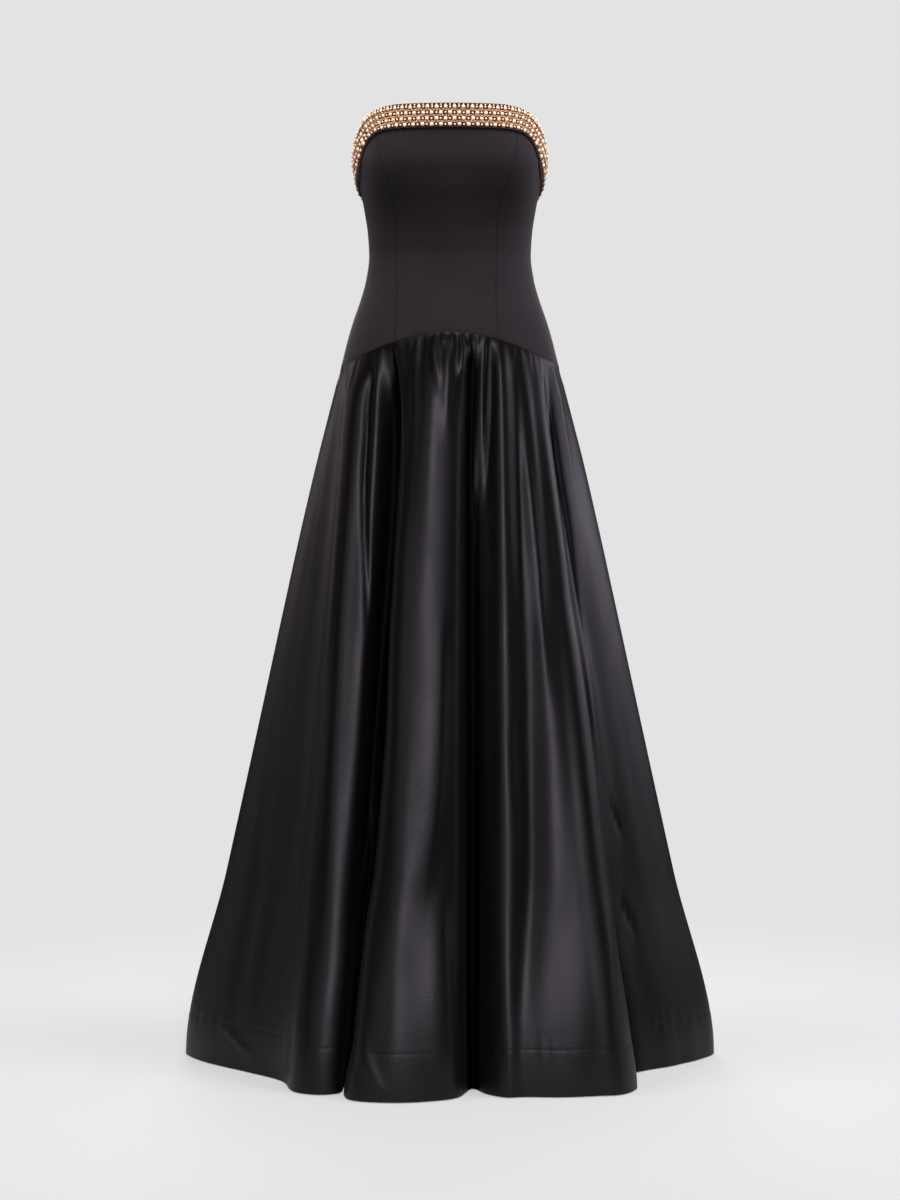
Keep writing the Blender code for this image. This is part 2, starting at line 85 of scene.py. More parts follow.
# Floor and backdrop. The floor is a pale disc just under the hem that fades
# into the same even grey, so that there is no edge behind the gown.
BACKDROP_GREY = 0.768
FLOOR_GREY = 0.425
FLOOR_RADIUS = 3.2
FLOOR_SIDES = 96
FLOOR_BELOW_HEM = 0.0006
FLOOR_STRENGTH = 0.55
FADE_START, FADE_END = 0.55, 1.6


def new_material(name):
    """A new material and its nodes."""
    material = bpy.data.materials.new(name)
    material.use_nodes = True
    return material, material.node_tree.nodes


def set_sockets(node, values):
    """Puts constants straight on a node's own sockets."""
    for socket, value in values.items():
        node.inputs[socket].default_value = value
    return node


def add_node(nodes, kind, values=None, **settings):
    """A new shader node with its settings made and its constants put in."""
    node = nodes.new("ShaderNode" + kind)
    for setting, value in settings.items():
        setattr(node, setting, value)
    return set_sockets(node, values or {})


def join_nodes(*joins):
    """Joins nodes: each join names a node and its outlet, then the next node and its inlet."""
    for node, outlet, next_node, inlet in joins:
        node.id_data.links.new(node.outputs[outlet], next_node.inputs[inlet])


floor_mesh = bpy.data.meshes.new("studio_floor")
floor_bm = bmesh.new()
bmesh.ops.create_circle(floor_bm, cap_ends=True, segments=FLOOR_SIDES, radius=FLOOR_RADIUS)
floor_bm.to_mesh(floor_mesh)
floor_bm.free()
floor = add_object("studio_floor", floor_mesh)
floor.location = (0.0, 0.0, cad_low.z - FLOOR_BELOW_HEM)
floor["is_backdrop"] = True

floor_paint, nodes = new_material("pale_floor")
nodes.clear()
floor_out = add_node(nodes, "OutputMaterial")
floor_mix = add_node(nodes, "MixShader")
floor_clear = add_node(nodes, "BsdfTransparent")
floor_matte = add_node(nodes, "BsdfDiffuse", {"Color": (FLOOR_GREY, FLOOR_GREY, FLOOR_GREY, 1.0)})
floor_place = add_node(nodes, "TexCoord")
floor_far = add_node(nodes, "VectorMath", operation="LENGTH")
floor_fade = add_node(nodes, "MapRange", {
    "From Min": FADE_START, "From Max": FADE_END, "To Min": FLOOR_STRENGTH, "To Max": 0.0
}, interpolation_type="SMOOTHSTEP")
join_nodes(
    (floor_place, "Object", floor_far, 0),
    (floor_far, "Value", floor_fade, "Value"),
    (floor_fade, "Result", floor_mix, "Fac"),
    (floor_clear, "BSDF", floor_mix, 1),
    (floor_matte, "BSDF", floor_mix, 2),
    (floor_mix, "Shader", floor_out, "Surface"),
)
floor.data.materials.append(floor_paint)

# Light. A tall cool soft box in front is the key and one behind lights the back,
# with weak boxes at both sides. Those overhead don't show in the gloss, so the
# satin's folds stay black, and a dim room fills what the boxes leave.
ROOM_COLOUR = (1.0, 0.94, 0.92, 1.0)
ROOM_STRENGTH = 0.012
GOWN_MIDDLE = -0.50
world = bpy.data.worlds.new("grey_room")
world.use_nodes = True
bpy.context.scene.world = world
nodes = world.node_tree.nodes
nodes.clear()
world_out = add_node(nodes, "OutputWorld")
world_mix = add_node(nodes, "MixShader")
world_seen = add_node(nodes, "Background", {"Color": (BACKDROP_GREY, BACKDROP_GREY, BACKDROP_GREY, 1.0)})
world_light = add_node(nodes, "Background", {"Color": ROOM_COLOUR, "Strength": ROOM_STRENGTH})
world_ray = add_node(nodes, "LightPath")
join_nodes(
    (world_ray, "Is Camera Ray", world_mix, "Fac"),
    (world_light, "Background", world_mix, 1),
    (world_seen, "Background", world_mix, 2),
    (world_mix, "Shader", world_out, "Surface"),
)

SoftBox = namedtuple("SoftBox", "name turn away height width tall power colour")
COOL, PLAIN, WARM = (0.92, 0.84, 1.0), (1.0, 0.97, 0.98), (1.0, 0.87, 0.91)
SOFT_BOXES = [
    SoftBox(name="front_key", turn=5, away=5.2, height=1.7, width=1.3, tall=3.0, power=98, colour=COOL),
    SoftBox(name="top_front", turn=4, away=1.9, height=3.7, width=1.8, tall=1.2, power=235, colour=PLAIN),
    SoftBox(name="right_top", turn=74, away=1.7, height=3.2, width=1.2, tall=1.0, power=95, colour=PLAIN),
    SoftBox(name="left_top", turn=-74, away=1.7, height=3.2, width=1.2, tall=1.0, power=60, colour=PLAIN),
    SoftBox(name="right_side", turn=92, away=3.2, height=0.6, width=1.4, tall=2.0, power=11, colour=COOL),
    SoftBox(name="right_rim", turn=118, away=3.0, height=0.45, width=1.1, tall=1.4, power=14, colour=COOL),
    SoftBox(name="left_front", turn=-33, away=4.4, height=1.0, width=1.7, tall=2.6, power=9, colour=WARM),
    SoftBox(name="left_side", turn=-104, away=3.2, height=0.2, width=2.2, tall=2.4, power=4.3, colour=WARM),
    SoftBox(name="left_rim", turn=-128, away=3.0, height=0.6, width=1.0, tall=1.4, power=5.5, colour=WARM),
    SoftBox(name="back_key", turn=186, away=5.0, height=1.3, width=1.3, tall=2.6, power=150, colour=COOL),
    SoftBox(name="back_top", turn=180, away=2.3, height=3.2, width=1.6, tall=1.2, power=90, colour=PLAIN),
]
for box in SOFT_BOXES:
    lamp = bpy.data.lights.new(box.name, "AREA")
    lamp.shape = "RECTANGLE"
    lamp.size = box.width
    lamp.size_y = box.tall
    lamp.energy = box.power
    lamp.color = box.colour
    lamp_object = add_object(box.name, lamp)
    turn = math.radians(box.turn)
    lamp_object.location = (box.away * math.sin(turn), -box.away * math.cos(turn), box.height)
    tilt = math.atan2(box.height - GOWN_MIDDLE, box.away)
    lamp_object.rotation_euler = (math.pi / 2 - tilt, 0.0, turn)
    lamp_object.visible_glossy = "top" not in box.name
bpy.context.scene.view_settings.view_transform = "Standard"

# Bodice. Five princess-line panels of matte black crepe over a firm ground, shaped over two cups
# and joined by narrow pressed seams that sink a little, with painted shade along them.
MM = 0.001
SEAM_GAP = 0.3
CREPE_WALL = 2.0
CREPE_OUT = 0.35
YOKE_FRONT = -107.0
YOKE_SIDE_DROP = 46.0
CUP_TURN, CUP_HEIGHT, CUP_OUT, CUP_WIDTH, CUP_RISE = 39.0, 118.0, 9.0, 25.0, 52.0
BODICE_ROWS = 96
COLUMNS_TO_A_DEGREE = 0.9
SEAM_PASSES = 7
SEAM_SINK, SEAM_SINK_WIDTH = 0.2, 1.0
# Painted shade along the seams: its strength and its width in millimetres.
SEAM_SHADE, SEAM_SHADE_WIDTH = 0.6, 1.4
EDGE_ROLL, EDGE_ROLL_HEIGHT = 0.5, 1.6
MIX_FIRST, MIX_SECOND, MIX_RESULT = 6, 7, 2

Section = namedtuple("Section", "height half_width front_depth back_depth")
BODY_SECTIONS = [
    Section(height=-170, half_width=156.0, front_depth=110, back_depth=128),
    Section(height=-144, half_width=149.4, front_depth=107, back_depth=123),
    Section(height=-116, half_width=142.4, front_depth=103, back_depth=115),
    Section(height=-88, half_width=134.0, front_depth=99, back_depth=106),
    Section(height=-60, half_width=124.2, front_depth=94, back_depth=95),
    Section(height=-32, half_width=116.6, front_depth=89, back_depth=86),
    Section(height=0, half_width=112.4, front_depth=86, back_depth=80),
    Section(height=30, half_width=114.0, front_depth=90, back_depth=79),
    Section(height=65, half_width=119.2, front_depth=99, back_depth=83),
    Section(height=98, half_width=125.4, front_depth=109, back_depth=87),
    Section(height=135, half_width=130.6, front_depth=116, back_depth=90),
    Section(height=170, half_width=127.5, front_depth=113, back_depth=90),
    Section(height=210, half_width=124.0, front_depth=106, back_depth=90),
]
NeckPoint = namedtuple("NeckPoint", "turn top band_low")
NECKLINE = [
    NeckPoint(turn=0, top=203.0, band_low=169.0),
    NeckPoint(turn=34, top=202.8, band_low=168.5),
    NeckPoint(turn=46, top=200.5, band_low=166.0),
    NeckPoint(turn=52, top=198.6, band_low=161.5),
    NeckPoint(turn=58, top=195.8, band_low=152.5),
    NeckPoint(turn=63, top=192.2, band_low=137.5),
    NeckPoint(turn=68, top=187.5, band_low=122.5),
    NeckPoint(turn=74, top=178.5, band_low=111.0),
    NeckPoint(turn=79, top=168.5, band_low=105.0),
    NeckPoint(turn=90, top=141.5, band_low=93.5),
    NeckPoint(turn=101, top=123.0, band_low=81.0),
    NeckPoint(turn=115, top=107.0, band_low=69.0),
    NeckPoint(turn=135, top=95.0, band_low=59.5),
    NeckPoint(turn=158, top=90.5, band_low=55.5),
    NeckPoint(turn=180, top=90.0, band_low=55.0),
]
PrincessPoint = namedtuple("PrincessPoint", "height left_turn right_turn")
PRINCESS_SEAMS = [
    PrincessPoint(height=-150, left_turn=-30.5, right_turn=26.5),
    PrincessPoint(height=-60, left_turn=-36.0, right_turn=30.5),
    PrincessPoint(height=0, left_turn=-41.0, right_turn=34.5),
    PrincessPoint(height=60, left_turn=-39.0, right_turn=33.0),
    PrincessPoint(height=100, left_turn=-40.0, right_turn=36.0),
    PrincessPoint(height=150, left_turn=-47.0, right_turn=42.0),
    PrincessPoint(height=210, left_turn=-53.0, right_turn=48.0),
]


def cubic_step(t, step, start, start_slope, end, end_slope):
    """A smooth course over one step, from one value and slope to the next."""
    return (
        start * (1 + 2 * t) * (1 - t) ** 2
        + start_slope * step * t * (1 - t) ** 2
        + end * t * t * (3 - 2 * t)
        + end_slope * step * t * t * (t - 1)
    )


def monotone_curve(places, values):
    """A smooth curve through the points that never swings past them, for whole arrays."""
    places = np.asarray(places, float)
    values = np.asarray(values, float)
    steps = np.diff(places)
    slopes = np.diff(values) / steps
    tangents = np.zeros(len(places))
    for i in range(1, len(places) - 1):
        if slopes[i - 1] * slopes[i] > 0:
            before = 2 * steps[i] + steps[i - 1]
            after = steps[i] + 2 * steps[i - 1]
            tangents[i] = (before + after) / (before / slopes[i - 1] + after / slopes[i])

    def value(place):
        place = np.clip(place, places[0], places[-1])
        i = np.clip(np.searchsorted(places, place, side="right") - 1, 0, len(steps) - 1)
        t = (place - places[i]) / steps[i]
        return cubic_step(t, steps[i], values[i], tangents[i], values[i + 1], tangents[i + 1])

    return value


def table_curve(table, place, name):
    return monotone_curve([getattr(row, place) for row in table], [getattr(row, name) for row in table])


half_width_at = table_curve(BODY_SECTIONS, "height", "half_width")
front_depth_at = table_curve(BODY_SECTIONS, "height", "front_depth")
back_depth_at = table_curve(BODY_SECTIONS, "height", "back_depth")
neck_top_at = table_curve(NECKLINE, "turn", "top")
band_low_at = table_curve(NECKLINE, "turn", "band_low")
left_princess_at = table_curve(PRINCESS_SEAMS, "height", "left_turn")
right_princess_at = table_curve(PRINCESS_SEAMS, "height", "right_turn")


def turn_past(turn, middle=0.0):
    """Degrees by which a turn lies past a middle one, the shorter way round."""
    return (turn - middle + 180) % 360 - 180


def smooth_step(value, start, end):
    t = np.clip((value - start) / (end - start), 0.0, 1.0)
    return t * t * (3 - 2 * t)


def bell(away, width):
    """1 at the middle, falling away softly on both sides."""
    return np.exp(-((away / width) ** 2))


def body_point(turn, height, out=0.0):
    """Points on the outside of the bodice, moved out by a distance, in millimetres."""
    turn, height = np.broadcast_arrays(np.asarray(turn, float), np.asarray(height, float))
    angle = np.radians(turn)
    away = np.abs(turn_past(turn))
    wide = half_width_at(height)
    deep = np.where(away < 90, front_depth_at(height), back_depth_at(height))
    grown = out + CUP_OUT * bell(away - CUP_TURN, CUP_WIDTH) * bell(height - CUP_HEIGHT, CUP_RISE)
    normal = np.stack([np.sin(angle) / wide, -np.cos(angle) / deep], axis=-1)
    normal /= np.linalg.norm(normal, axis=-1, keepdims=True)
    x = wide * np.sin(angle) + grown * normal[..., 0]
    y = -deep * np.cos(angle) + grown * normal[..., 1]
    return np.stack([x, y, height], axis=-1)


def yoke_height(turn):
    return YOKE_FRONT - YOKE_SIDE_DROP * np.sin(np.radians(turn)) ** 2


def point_values(mesh, name, values):
    """Gives each point of a mesh a value, which its material reads by name."""
    attribute = mesh.attributes.new(name, "FLOAT", "POINT")
    attribute.data.foreach_set("value", values.astype(np.float32).ravel())


def cloth_panel(name, points, wall, uv, material, hollow):
    """A smooth panel of cloth from a grid of points in millimetres, rows from the bottom up.

    uv gives each point's place on the cloth in metres, and the wall lies inside.
    hollow is 1 deep in a groove or fold, where no light reaches, and 0 on open cloth; the material paints
    shade there by it.
    """
    rows, columns = points.shape[:2]
    index = np.arange(rows * columns).reshape(rows, columns)
    corners = [index[:-1, :-1], index[:-1, 1:], index[1:, 1:], index[1:, :-1]]
    faces = np.stack(corners, axis=-1).reshape(-1, 4)
    mesh = bpy.data.meshes.new(name)
    mesh.from_pydata((points.reshape(-1, 3) * MM).tolist(), [], faces.tolist())
    mesh.uv_layers.new(name="cloth")
    corner_uv = uv.reshape(-1, 2)[faces.reshape(-1)].astype(np.float32)
    mesh.uv_layers["cloth"].data.foreach_set("uv", corner_uv.ravel())
    ends = np.empty(2 * len(mesh.edges), int)
    mesh.edges.foreach_get("vertices", ends)
    row, column = (ends // columns).reshape(-1, 2), (ends % columns).reshape(-1, 2)
    along_rim = (row[:, 0] == row[:, 1]) & ((row[:, 0] == 0) | (row[:, 0] == rows - 1))
    along_side = (column[:, 0] == column[:, 1]) & ((column[:, 0] == 0) | (column[:, 0] == columns - 1))
    sharp = mesh.attributes.new("sharp_edge", "BOOLEAN", "EDGE")
    sharp.data.foreach_set("value", along_rim | along_side)
    point_values(mesh, "hollow", hollow)
    mesh.shade_smooth()
    mesh.materials.append(material)
    panel = add_object(name, mesh)
    solidify = panel.modifiers.new("wall", "SOLIDIFY")
    solidify.thickness = wall * MM
    solidify.offset = -1.0
    return panel


def cloth_places(points):
    """Distances across and up a grid of points, in metres, as its place on flat cloth."""
    across = np.linalg.norm(np.diff(points, axis=1), axis=2)
    up = np.linalg.norm(np.diff(points, axis=0), axis=2)
    u = np.concatenate([np.zeros((points.shape[0], 1)), np.cumsum(across, axis=1)], axis=1)
    v = np.concatenate([np.zeros((1, points.shape[1])), np.cumsum(up, axis=0)], axis=0)
    return np.stack([u - u[:, -1:] / 2, v], axis=-1) * MM


def add_ramp(nodes, low, high, start=0.0, end=1.0):
    """A colour ramp from one colour to another."""
    ramp = add_node(nodes, "ValToRGB")
    for element, place, colour in zip(ramp.color_ramp.elements, (start, end), (low, high)):
        element.position = place
        element.color = (*colour, 1.0)
    return ramp


def steady(turn):
    """A panel's edge that stays at one turn all the way up."""
    return lambda height: turn + 0 * height


crepe, nodes = new_material("black_crepe")
crepe_shader = set_sockets(nodes["Principled BSDF"], {
    "Roughness": 0.88, "Specular IOR Level": 0.32, "Sheen Weight": 0.10, "Sheen Roughness": 0.45,
    "Sheen Tint": (0.86, 0.80, 0.86, 1.0)
})
crepe_place = add_node(nodes, "TexCoord")
crepe_cloud = add_node(nodes, "TexNoise", {"Scale": 14.0, "Detail": 3.0})
crepe_colour = add_ramp(nodes, (0.0165, 0.0136, 0.0156), (0.0210, 0.0176, 0.0200), start=0.32, end=0.70)
crepe_grain = add_node(nodes, "TexNoise", {"Scale": 1500.0, "Detail": 2.0})
crepe_threads = add_node(nodes, "TexVoronoi", {"Scale": 900.0})
crepe_pebble = add_node(nodes, "Math", operation="ADD")
crepe_bump = add_node(nodes, "Bump", {"Strength": 0.35, "Distance": 0.0003})
# Painted shade: the crepe's colour turns near black along the seams, standing in for shade in their grooves.
crepe_seam_shade_mask = add_node(nodes, "Attribute", attribute_name="hollow")
crepe_groove_painted_shade = add_node(nodes, "Mix", {MIX_SECOND: (0.006, 0.005, 0.006, 1.0)}, data_type="RGBA")
join_nodes(
    (crepe_place, "Object", crepe_cloud, "Vector"),
    (crepe_place, "Object", crepe_grain, "Vector"),
    (crepe_place, "Object", crepe_threads, "Vector"),
    (crepe_cloud, "Fac", crepe_colour, "Fac"),
    (crepe_seam_shade_mask, "Fac", crepe_groove_painted_shade, "Factor"),
    (crepe_colour, "Color", crepe_groove_painted_shade, MIX_FIRST),
    (crepe_groove_painted_shade, MIX_RESULT, crepe_shader, "Base Color"),
    (crepe_grain, "Fac", crepe_pebble, 0),
    (crepe_threads, "Distance", crepe_pebble, 1),
    (crepe_pebble, "Value", crepe_bump, "Height"),
    (crepe_bump, "Normal", crepe_shader, "Normal"),
)

BodicePanel = namedtuple("BodicePanel", "name first_turn last_turn")
BODICE_PANELS = [
    BodicePanel("bodice_back_left", steady(-180.0), steady(-90.0)),
    BodicePanel("bodice_side_front_left", steady(-90.0), left_princess_at),
    BodicePanel("bodice_centre_front", left_princess_at, right_princess_at),
    BodicePanel("bodice_side_front_right", right_princess_at, steady(90.0)),
    BodicePanel("bodice_back_right", steady(90.0), steady(180.0)),
]
for name, first_turn, last_turn in BODICE_PANELS:
    columns = int(round((last_turn(0.0) - first_turn(0.0)) * COLUMNS_TO_A_DEGREE))
    share_across = np.linspace(0.0, 1.0, columns + 1)[None, :]
    share_up = np.linspace(0.0, 1.0, BODICE_ROWS + 1)[:, None]
    height = np.zeros((BODICE_ROWS + 1, columns + 1))
    for _ in range(SEAM_PASSES):
        turn = first_turn(height) + (last_turn(height) - first_turn(height)) * share_across
        low = yoke_height(turn) + 0.5 * SEAM_GAP
        height = low + (neck_top_at(np.abs(turn_past(turn))) - low) * share_up
    flat_points = body_point(turn, height)
    places = cloth_places(flat_points)
    width = np.ptp(places[..., 0], axis=1)[:, None] / MM
    from_seam = np.minimum(share_across, 1 - share_across) * width
    above_yoke = share_up * np.ptp(height, axis=0)[None, :]
    sink = SEAM_SINK * bell(from_seam, SEAM_SINK_WIDTH)
    roll = EDGE_ROLL * bell(above_yoke, EDGE_ROLL_HEIGHT)
    # Painted shade along each seam, which darkens the crepe's colour there.
    shade = SEAM_SHADE * bell(from_seam, SEAM_SHADE_WIDTH)
    points = body_point(turn, height, CREPE_OUT - sink - roll)
    panel = cloth_panel(name + "_cloth", points, CREPE_WALL, places, crepe, shade)
    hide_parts(name)
    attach(panel, "gown")

# Beaded band. A strip of dark ground cloth carries four rows of large and
# small lustre beads by turns, chains of seed beads between the rows, and a
# line of small beads on the top edge. It parts at the centre back for the zip.
BAND_GAP = 0.8
BAND_GROUND = 2.6
BAND_WALL = 2.0
BAND_EDGE_ROUND = 0.9
BAND_BELOW_TOP = 1.8
BAND_HALF_OPENING = 5.5
BAND_END_HEIGHT = 75.0
GROUND_ROWS = 16
BEADS_ROUND = 64
BEAD_ROWS = 4
BAND_LEVELS = 2 * BEAD_ROWS
BEAD_SEAT = BAND_GAP + BAND_GROUND
LARGE_BEAD = 2.8
SMALL_BEAD = 1.6
EDGE_BEAD = 1.35
SEED_BEAD = 0.86
PLAIN_DEPTH, MOST_SWOLLEN = 36.0, 1.30
UNEVEN_ALONG, UNEVEN_UP = 0.06, 0.008
EDGE_SHARE = 0.97
SEEDS_TO_A_BEAD = 6
SEED_START, SEED_APART, SEED_WAVE = 0.3, 0.24, 0.20
band_opening = math.degrees(BAND_HALF_OPENING / float(back_depth_at(BAND_END_HEIGHT)))


def band_place(along, share, out):
    """A place on the band: along from 0 to twice the bead count, share up it, and how far out."""
    turn = -180 + band_opening + (360 - 2 * band_opening) * np.asarray(along, float) / (2 * BEADS_ROUND)
    away = np.abs(turn_past(turn))
    low = band_low_at(away)
    height = low + (neck_top_at(away) - BAND_BELOW_TOP - low) * np.asarray(share, float)
    return body_point(turn, height, out)


ground, nodes = new_material("bead_ground")
ground_shader = set_sockets(nodes["Principled BSDF"], {"Roughness": 0.75, "Sheen Weight": 0.15})
ground_place = add_node(nodes, "TexCoord")
ground_mottle = add_node(nodes, "TexNoise", {"Scale": 320.0})
ground_colour = add_ramp(nodes, (0.010, 0.004, 0.003), (0.070, 0.024, 0.012))
ground_bump = add_node(nodes, "Bump", {"Strength": 0.5, "Distance": 0.0004})
join_nodes(
    (ground_place, "Object", ground_mottle, "Vector"),
    (ground_mottle, "Fac", ground_colour, "Fac"),
    (ground_colour, "Color", ground_shader, "Base Color"),
    (ground_mottle, "Fac", ground_bump, "Height"),
    (ground_bump, "Normal", ground_shader, "Normal"),
)

ground_alongs = np.linspace(0, 2 * BEADS_ROUND, 4 * BEADS_ROUND + 1)
band_along, band_share = np.meshgrid(ground_alongs, np.linspace(0.0, 1.0, GROUND_ROWS + 1))
edge_round = BAND_EDGE_ROUND * np.abs(2 * band_share - 1) ** 6
band_points = band_place(band_along, band_share, BEAD_SEAT - edge_round)
band_flat = cloth_places(band_points)
band_cloth = cloth_panel(
    "beaded_band_ground", band_points, BAND_WALL, band_flat, ground, np.zeros(band_points.shape[:2])
)
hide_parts("beaded_band")
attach(band_cloth, "gown")


def lustre(name, pale, deep, roughness):
    """A glassy champagne bead finish whose tone varies from bead to bead, with painted shade and painted
    ground reflection at each bead's rim.
    """
    material, nodes = new_material(name)
    shader = set_sockets(nodes["Principled BSDF"], {
        "Metallic": 0.0, "Roughness": roughness, "Coat Weight": 0.4, "Coat Roughness": 0.12
    })
    tone = add_node(nodes, "Attribute", attribute_name="bead_tone")
    front = add_node(nodes, "Attribute", attribute_name="bead_front")
    # Painted shade and painted reflection of the dark ground: dark brown at the rim of each bead, pale where
    # it faces out.
    rim_painted_shade = add_node(nodes, "Mix", {MIX_FIRST: (0.30, 0.12, 0.062, 1.0)}, data_type="RGBA")
    ramp = add_ramp(nodes, deep, pale)
    join_nodes(
        (tone, "Fac", ramp, "Fac"),
        (front, "Fac", rim_painted_shade, "Factor"),
        (ramp, "Color", rim_painted_shade, MIX_SECOND),
        (rim_painted_shade, MIX_RESULT, shader, "Base Color"),
    )
    return material


def string_beads(name, along, share, proud, radii, squash, rounds, glass, seed):
    """Many beads joined in one mesh, each drawn out or flattened along the band's outside."""
    centres = band_place(along, share, BEAD_SEAT + proud)
    normals = band_place(along, share, BEAD_SEAT + proud + 1.0) - centres
    ball = bmesh.new()
    bmesh.ops.create_uvsphere(ball, u_segments=rounds[0], v_segments=rounds[1], radius=1.0)
    shape = np.array([vertex.co[:] for vertex in ball.verts])
    facets = [[vertex.index for vertex in face.verts] for face in ball.faces]
    ball.free()
    chance = random.Random(seed)
    points, faces, tones, fronts = [], [], [], []
    for centre, normal, radius in zip(centres, normals, radii):
        grown = radius * chance.uniform(0.94, 1.05)
        ball_points = shape * grown
        along_normal = ball_points @ normal
        # How far each point faces out; the rim's painted shade and painted reflection fall where it is low.
        fronts.append(smooth_step(along_normal / grown, 0.12, 0.50))
        ball_points = ball_points + np.outer(along_normal * (squash - 1), normal)
        start = len(points) * len(shape)
        points.append(ball_points + centre)
        faces.extend([[corner + start for corner in facet] for facet in facets])
        tones.append(np.full(len(shape), chance.uniform(0.0, 1.0)))
    mesh = bpy.data.meshes.new(name)
    mesh.from_pydata((np.concatenate(points) * MM).tolist(), [], faces)
    point_values(mesh, "bead_tone", np.concatenate(tones))
    point_values(mesh, "bead_front", np.concatenate(fronts))
    mesh.shade_smooth()
    mesh.materials.append(glass)
    beads = add_object(name, mesh)
    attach(beads, "gown")
    return beads


large_glass = lustre("champagne_large_beads", (1.0, 0.82, 0.58), (0.98, 0.70, 0.44), 0.24)
small_glass = lustre("champagne_small_beads", (1.0, 0.84, 0.60), (0.98, 0.72, 0.46), 0.22)
seed_glass = lustre("rose_gold_seed_beads", (1.0, 0.72, 0.45), (0.70, 0.36, 0.19), 0.24)

row_along, row_share, large = [], [], []
for row in range(BEAD_ROWS):
    for i in range(1, 2 * BEADS_ROUND):
        row_along.append(i)
        row_share.append((2 * row + 1) / BAND_LEVELS)
        large.append((i + row) % 2 == 0)
row_along, row_share, large = np.array(row_along, float), np.array(row_share), np.array(large)
chance = np.random.RandomState(11)
row_along += chance.uniform(-UNEVEN_ALONG, UNEVEN_ALONG, len(row_along))
row_share += chance.uniform(-UNEVEN_UP, UNEVEN_UP, len(row_share))
lower_places, upper_places = band_place(row_along, 0.0, 0.0), band_place(row_along, 1.0, 0.0)
band_depth = np.linalg.norm(upper_places - lower_places, axis=1)
swollen = np.clip(band_depth / PLAIN_DEPTH, 1.0, MOST_SWOLLEN)
large_beads = string_beads(
    "large_beads", row_along[large], row_share[large], proud=0.5, radii=LARGE_BEAD * swollen[large],
    squash=0.80, rounds=(14, 10), glass=large_glass, seed=3
)
small_beads = string_beads(
    "small_beads", row_along[~large], row_share[~large], proud=0.5, radii=SMALL_BEAD * swollen[~large] ** 1.5,
    squash=0.95, rounds=(10, 7), glass=small_glass, seed=5
)

edge_along = np.arange(1, 2 * BEADS_ROUND, dtype=float)
every_edge = np.ones(len(edge_along))
edge_beads = string_beads(
    "edge_beads", edge_along, EDGE_SHARE * every_edge, proud=0.3, radii=EDGE_BEAD * every_edge,
    squash=0.9, rounds=(9, 6), glass=small_glass, seed=7
)

seed_along, seed_share = [], []
for gap in range(1, BEAD_ROWS):
    for i in range(BEADS_ROUND * SEEDS_TO_A_BEAD):
        along = 2 * i / SEEDS_TO_A_BEAD + SEED_START
        wave = math.cos(math.pi * (along + gap))
        for side in (-1, 1):
            seed_along.append(along)
            seed_share.append((2 * gap + side * SEED_APART + SEED_WAVE * wave) / BAND_LEVELS)
seed_along, seed_share = np.array(seed_along), np.array(seed_share)
kept = (seed_along > 0.5) & (seed_along < 2 * BEADS_ROUND - 0.5)
seed_beads = string_beads(
    "seed_beads", seed_along[kept], seed_share[kept], proud=0.35, radii=np.full(kept.sum(), SEED_BEAD),
    squash=1.0, rounds=(7, 5), glass=seed_glass, seed=9
)

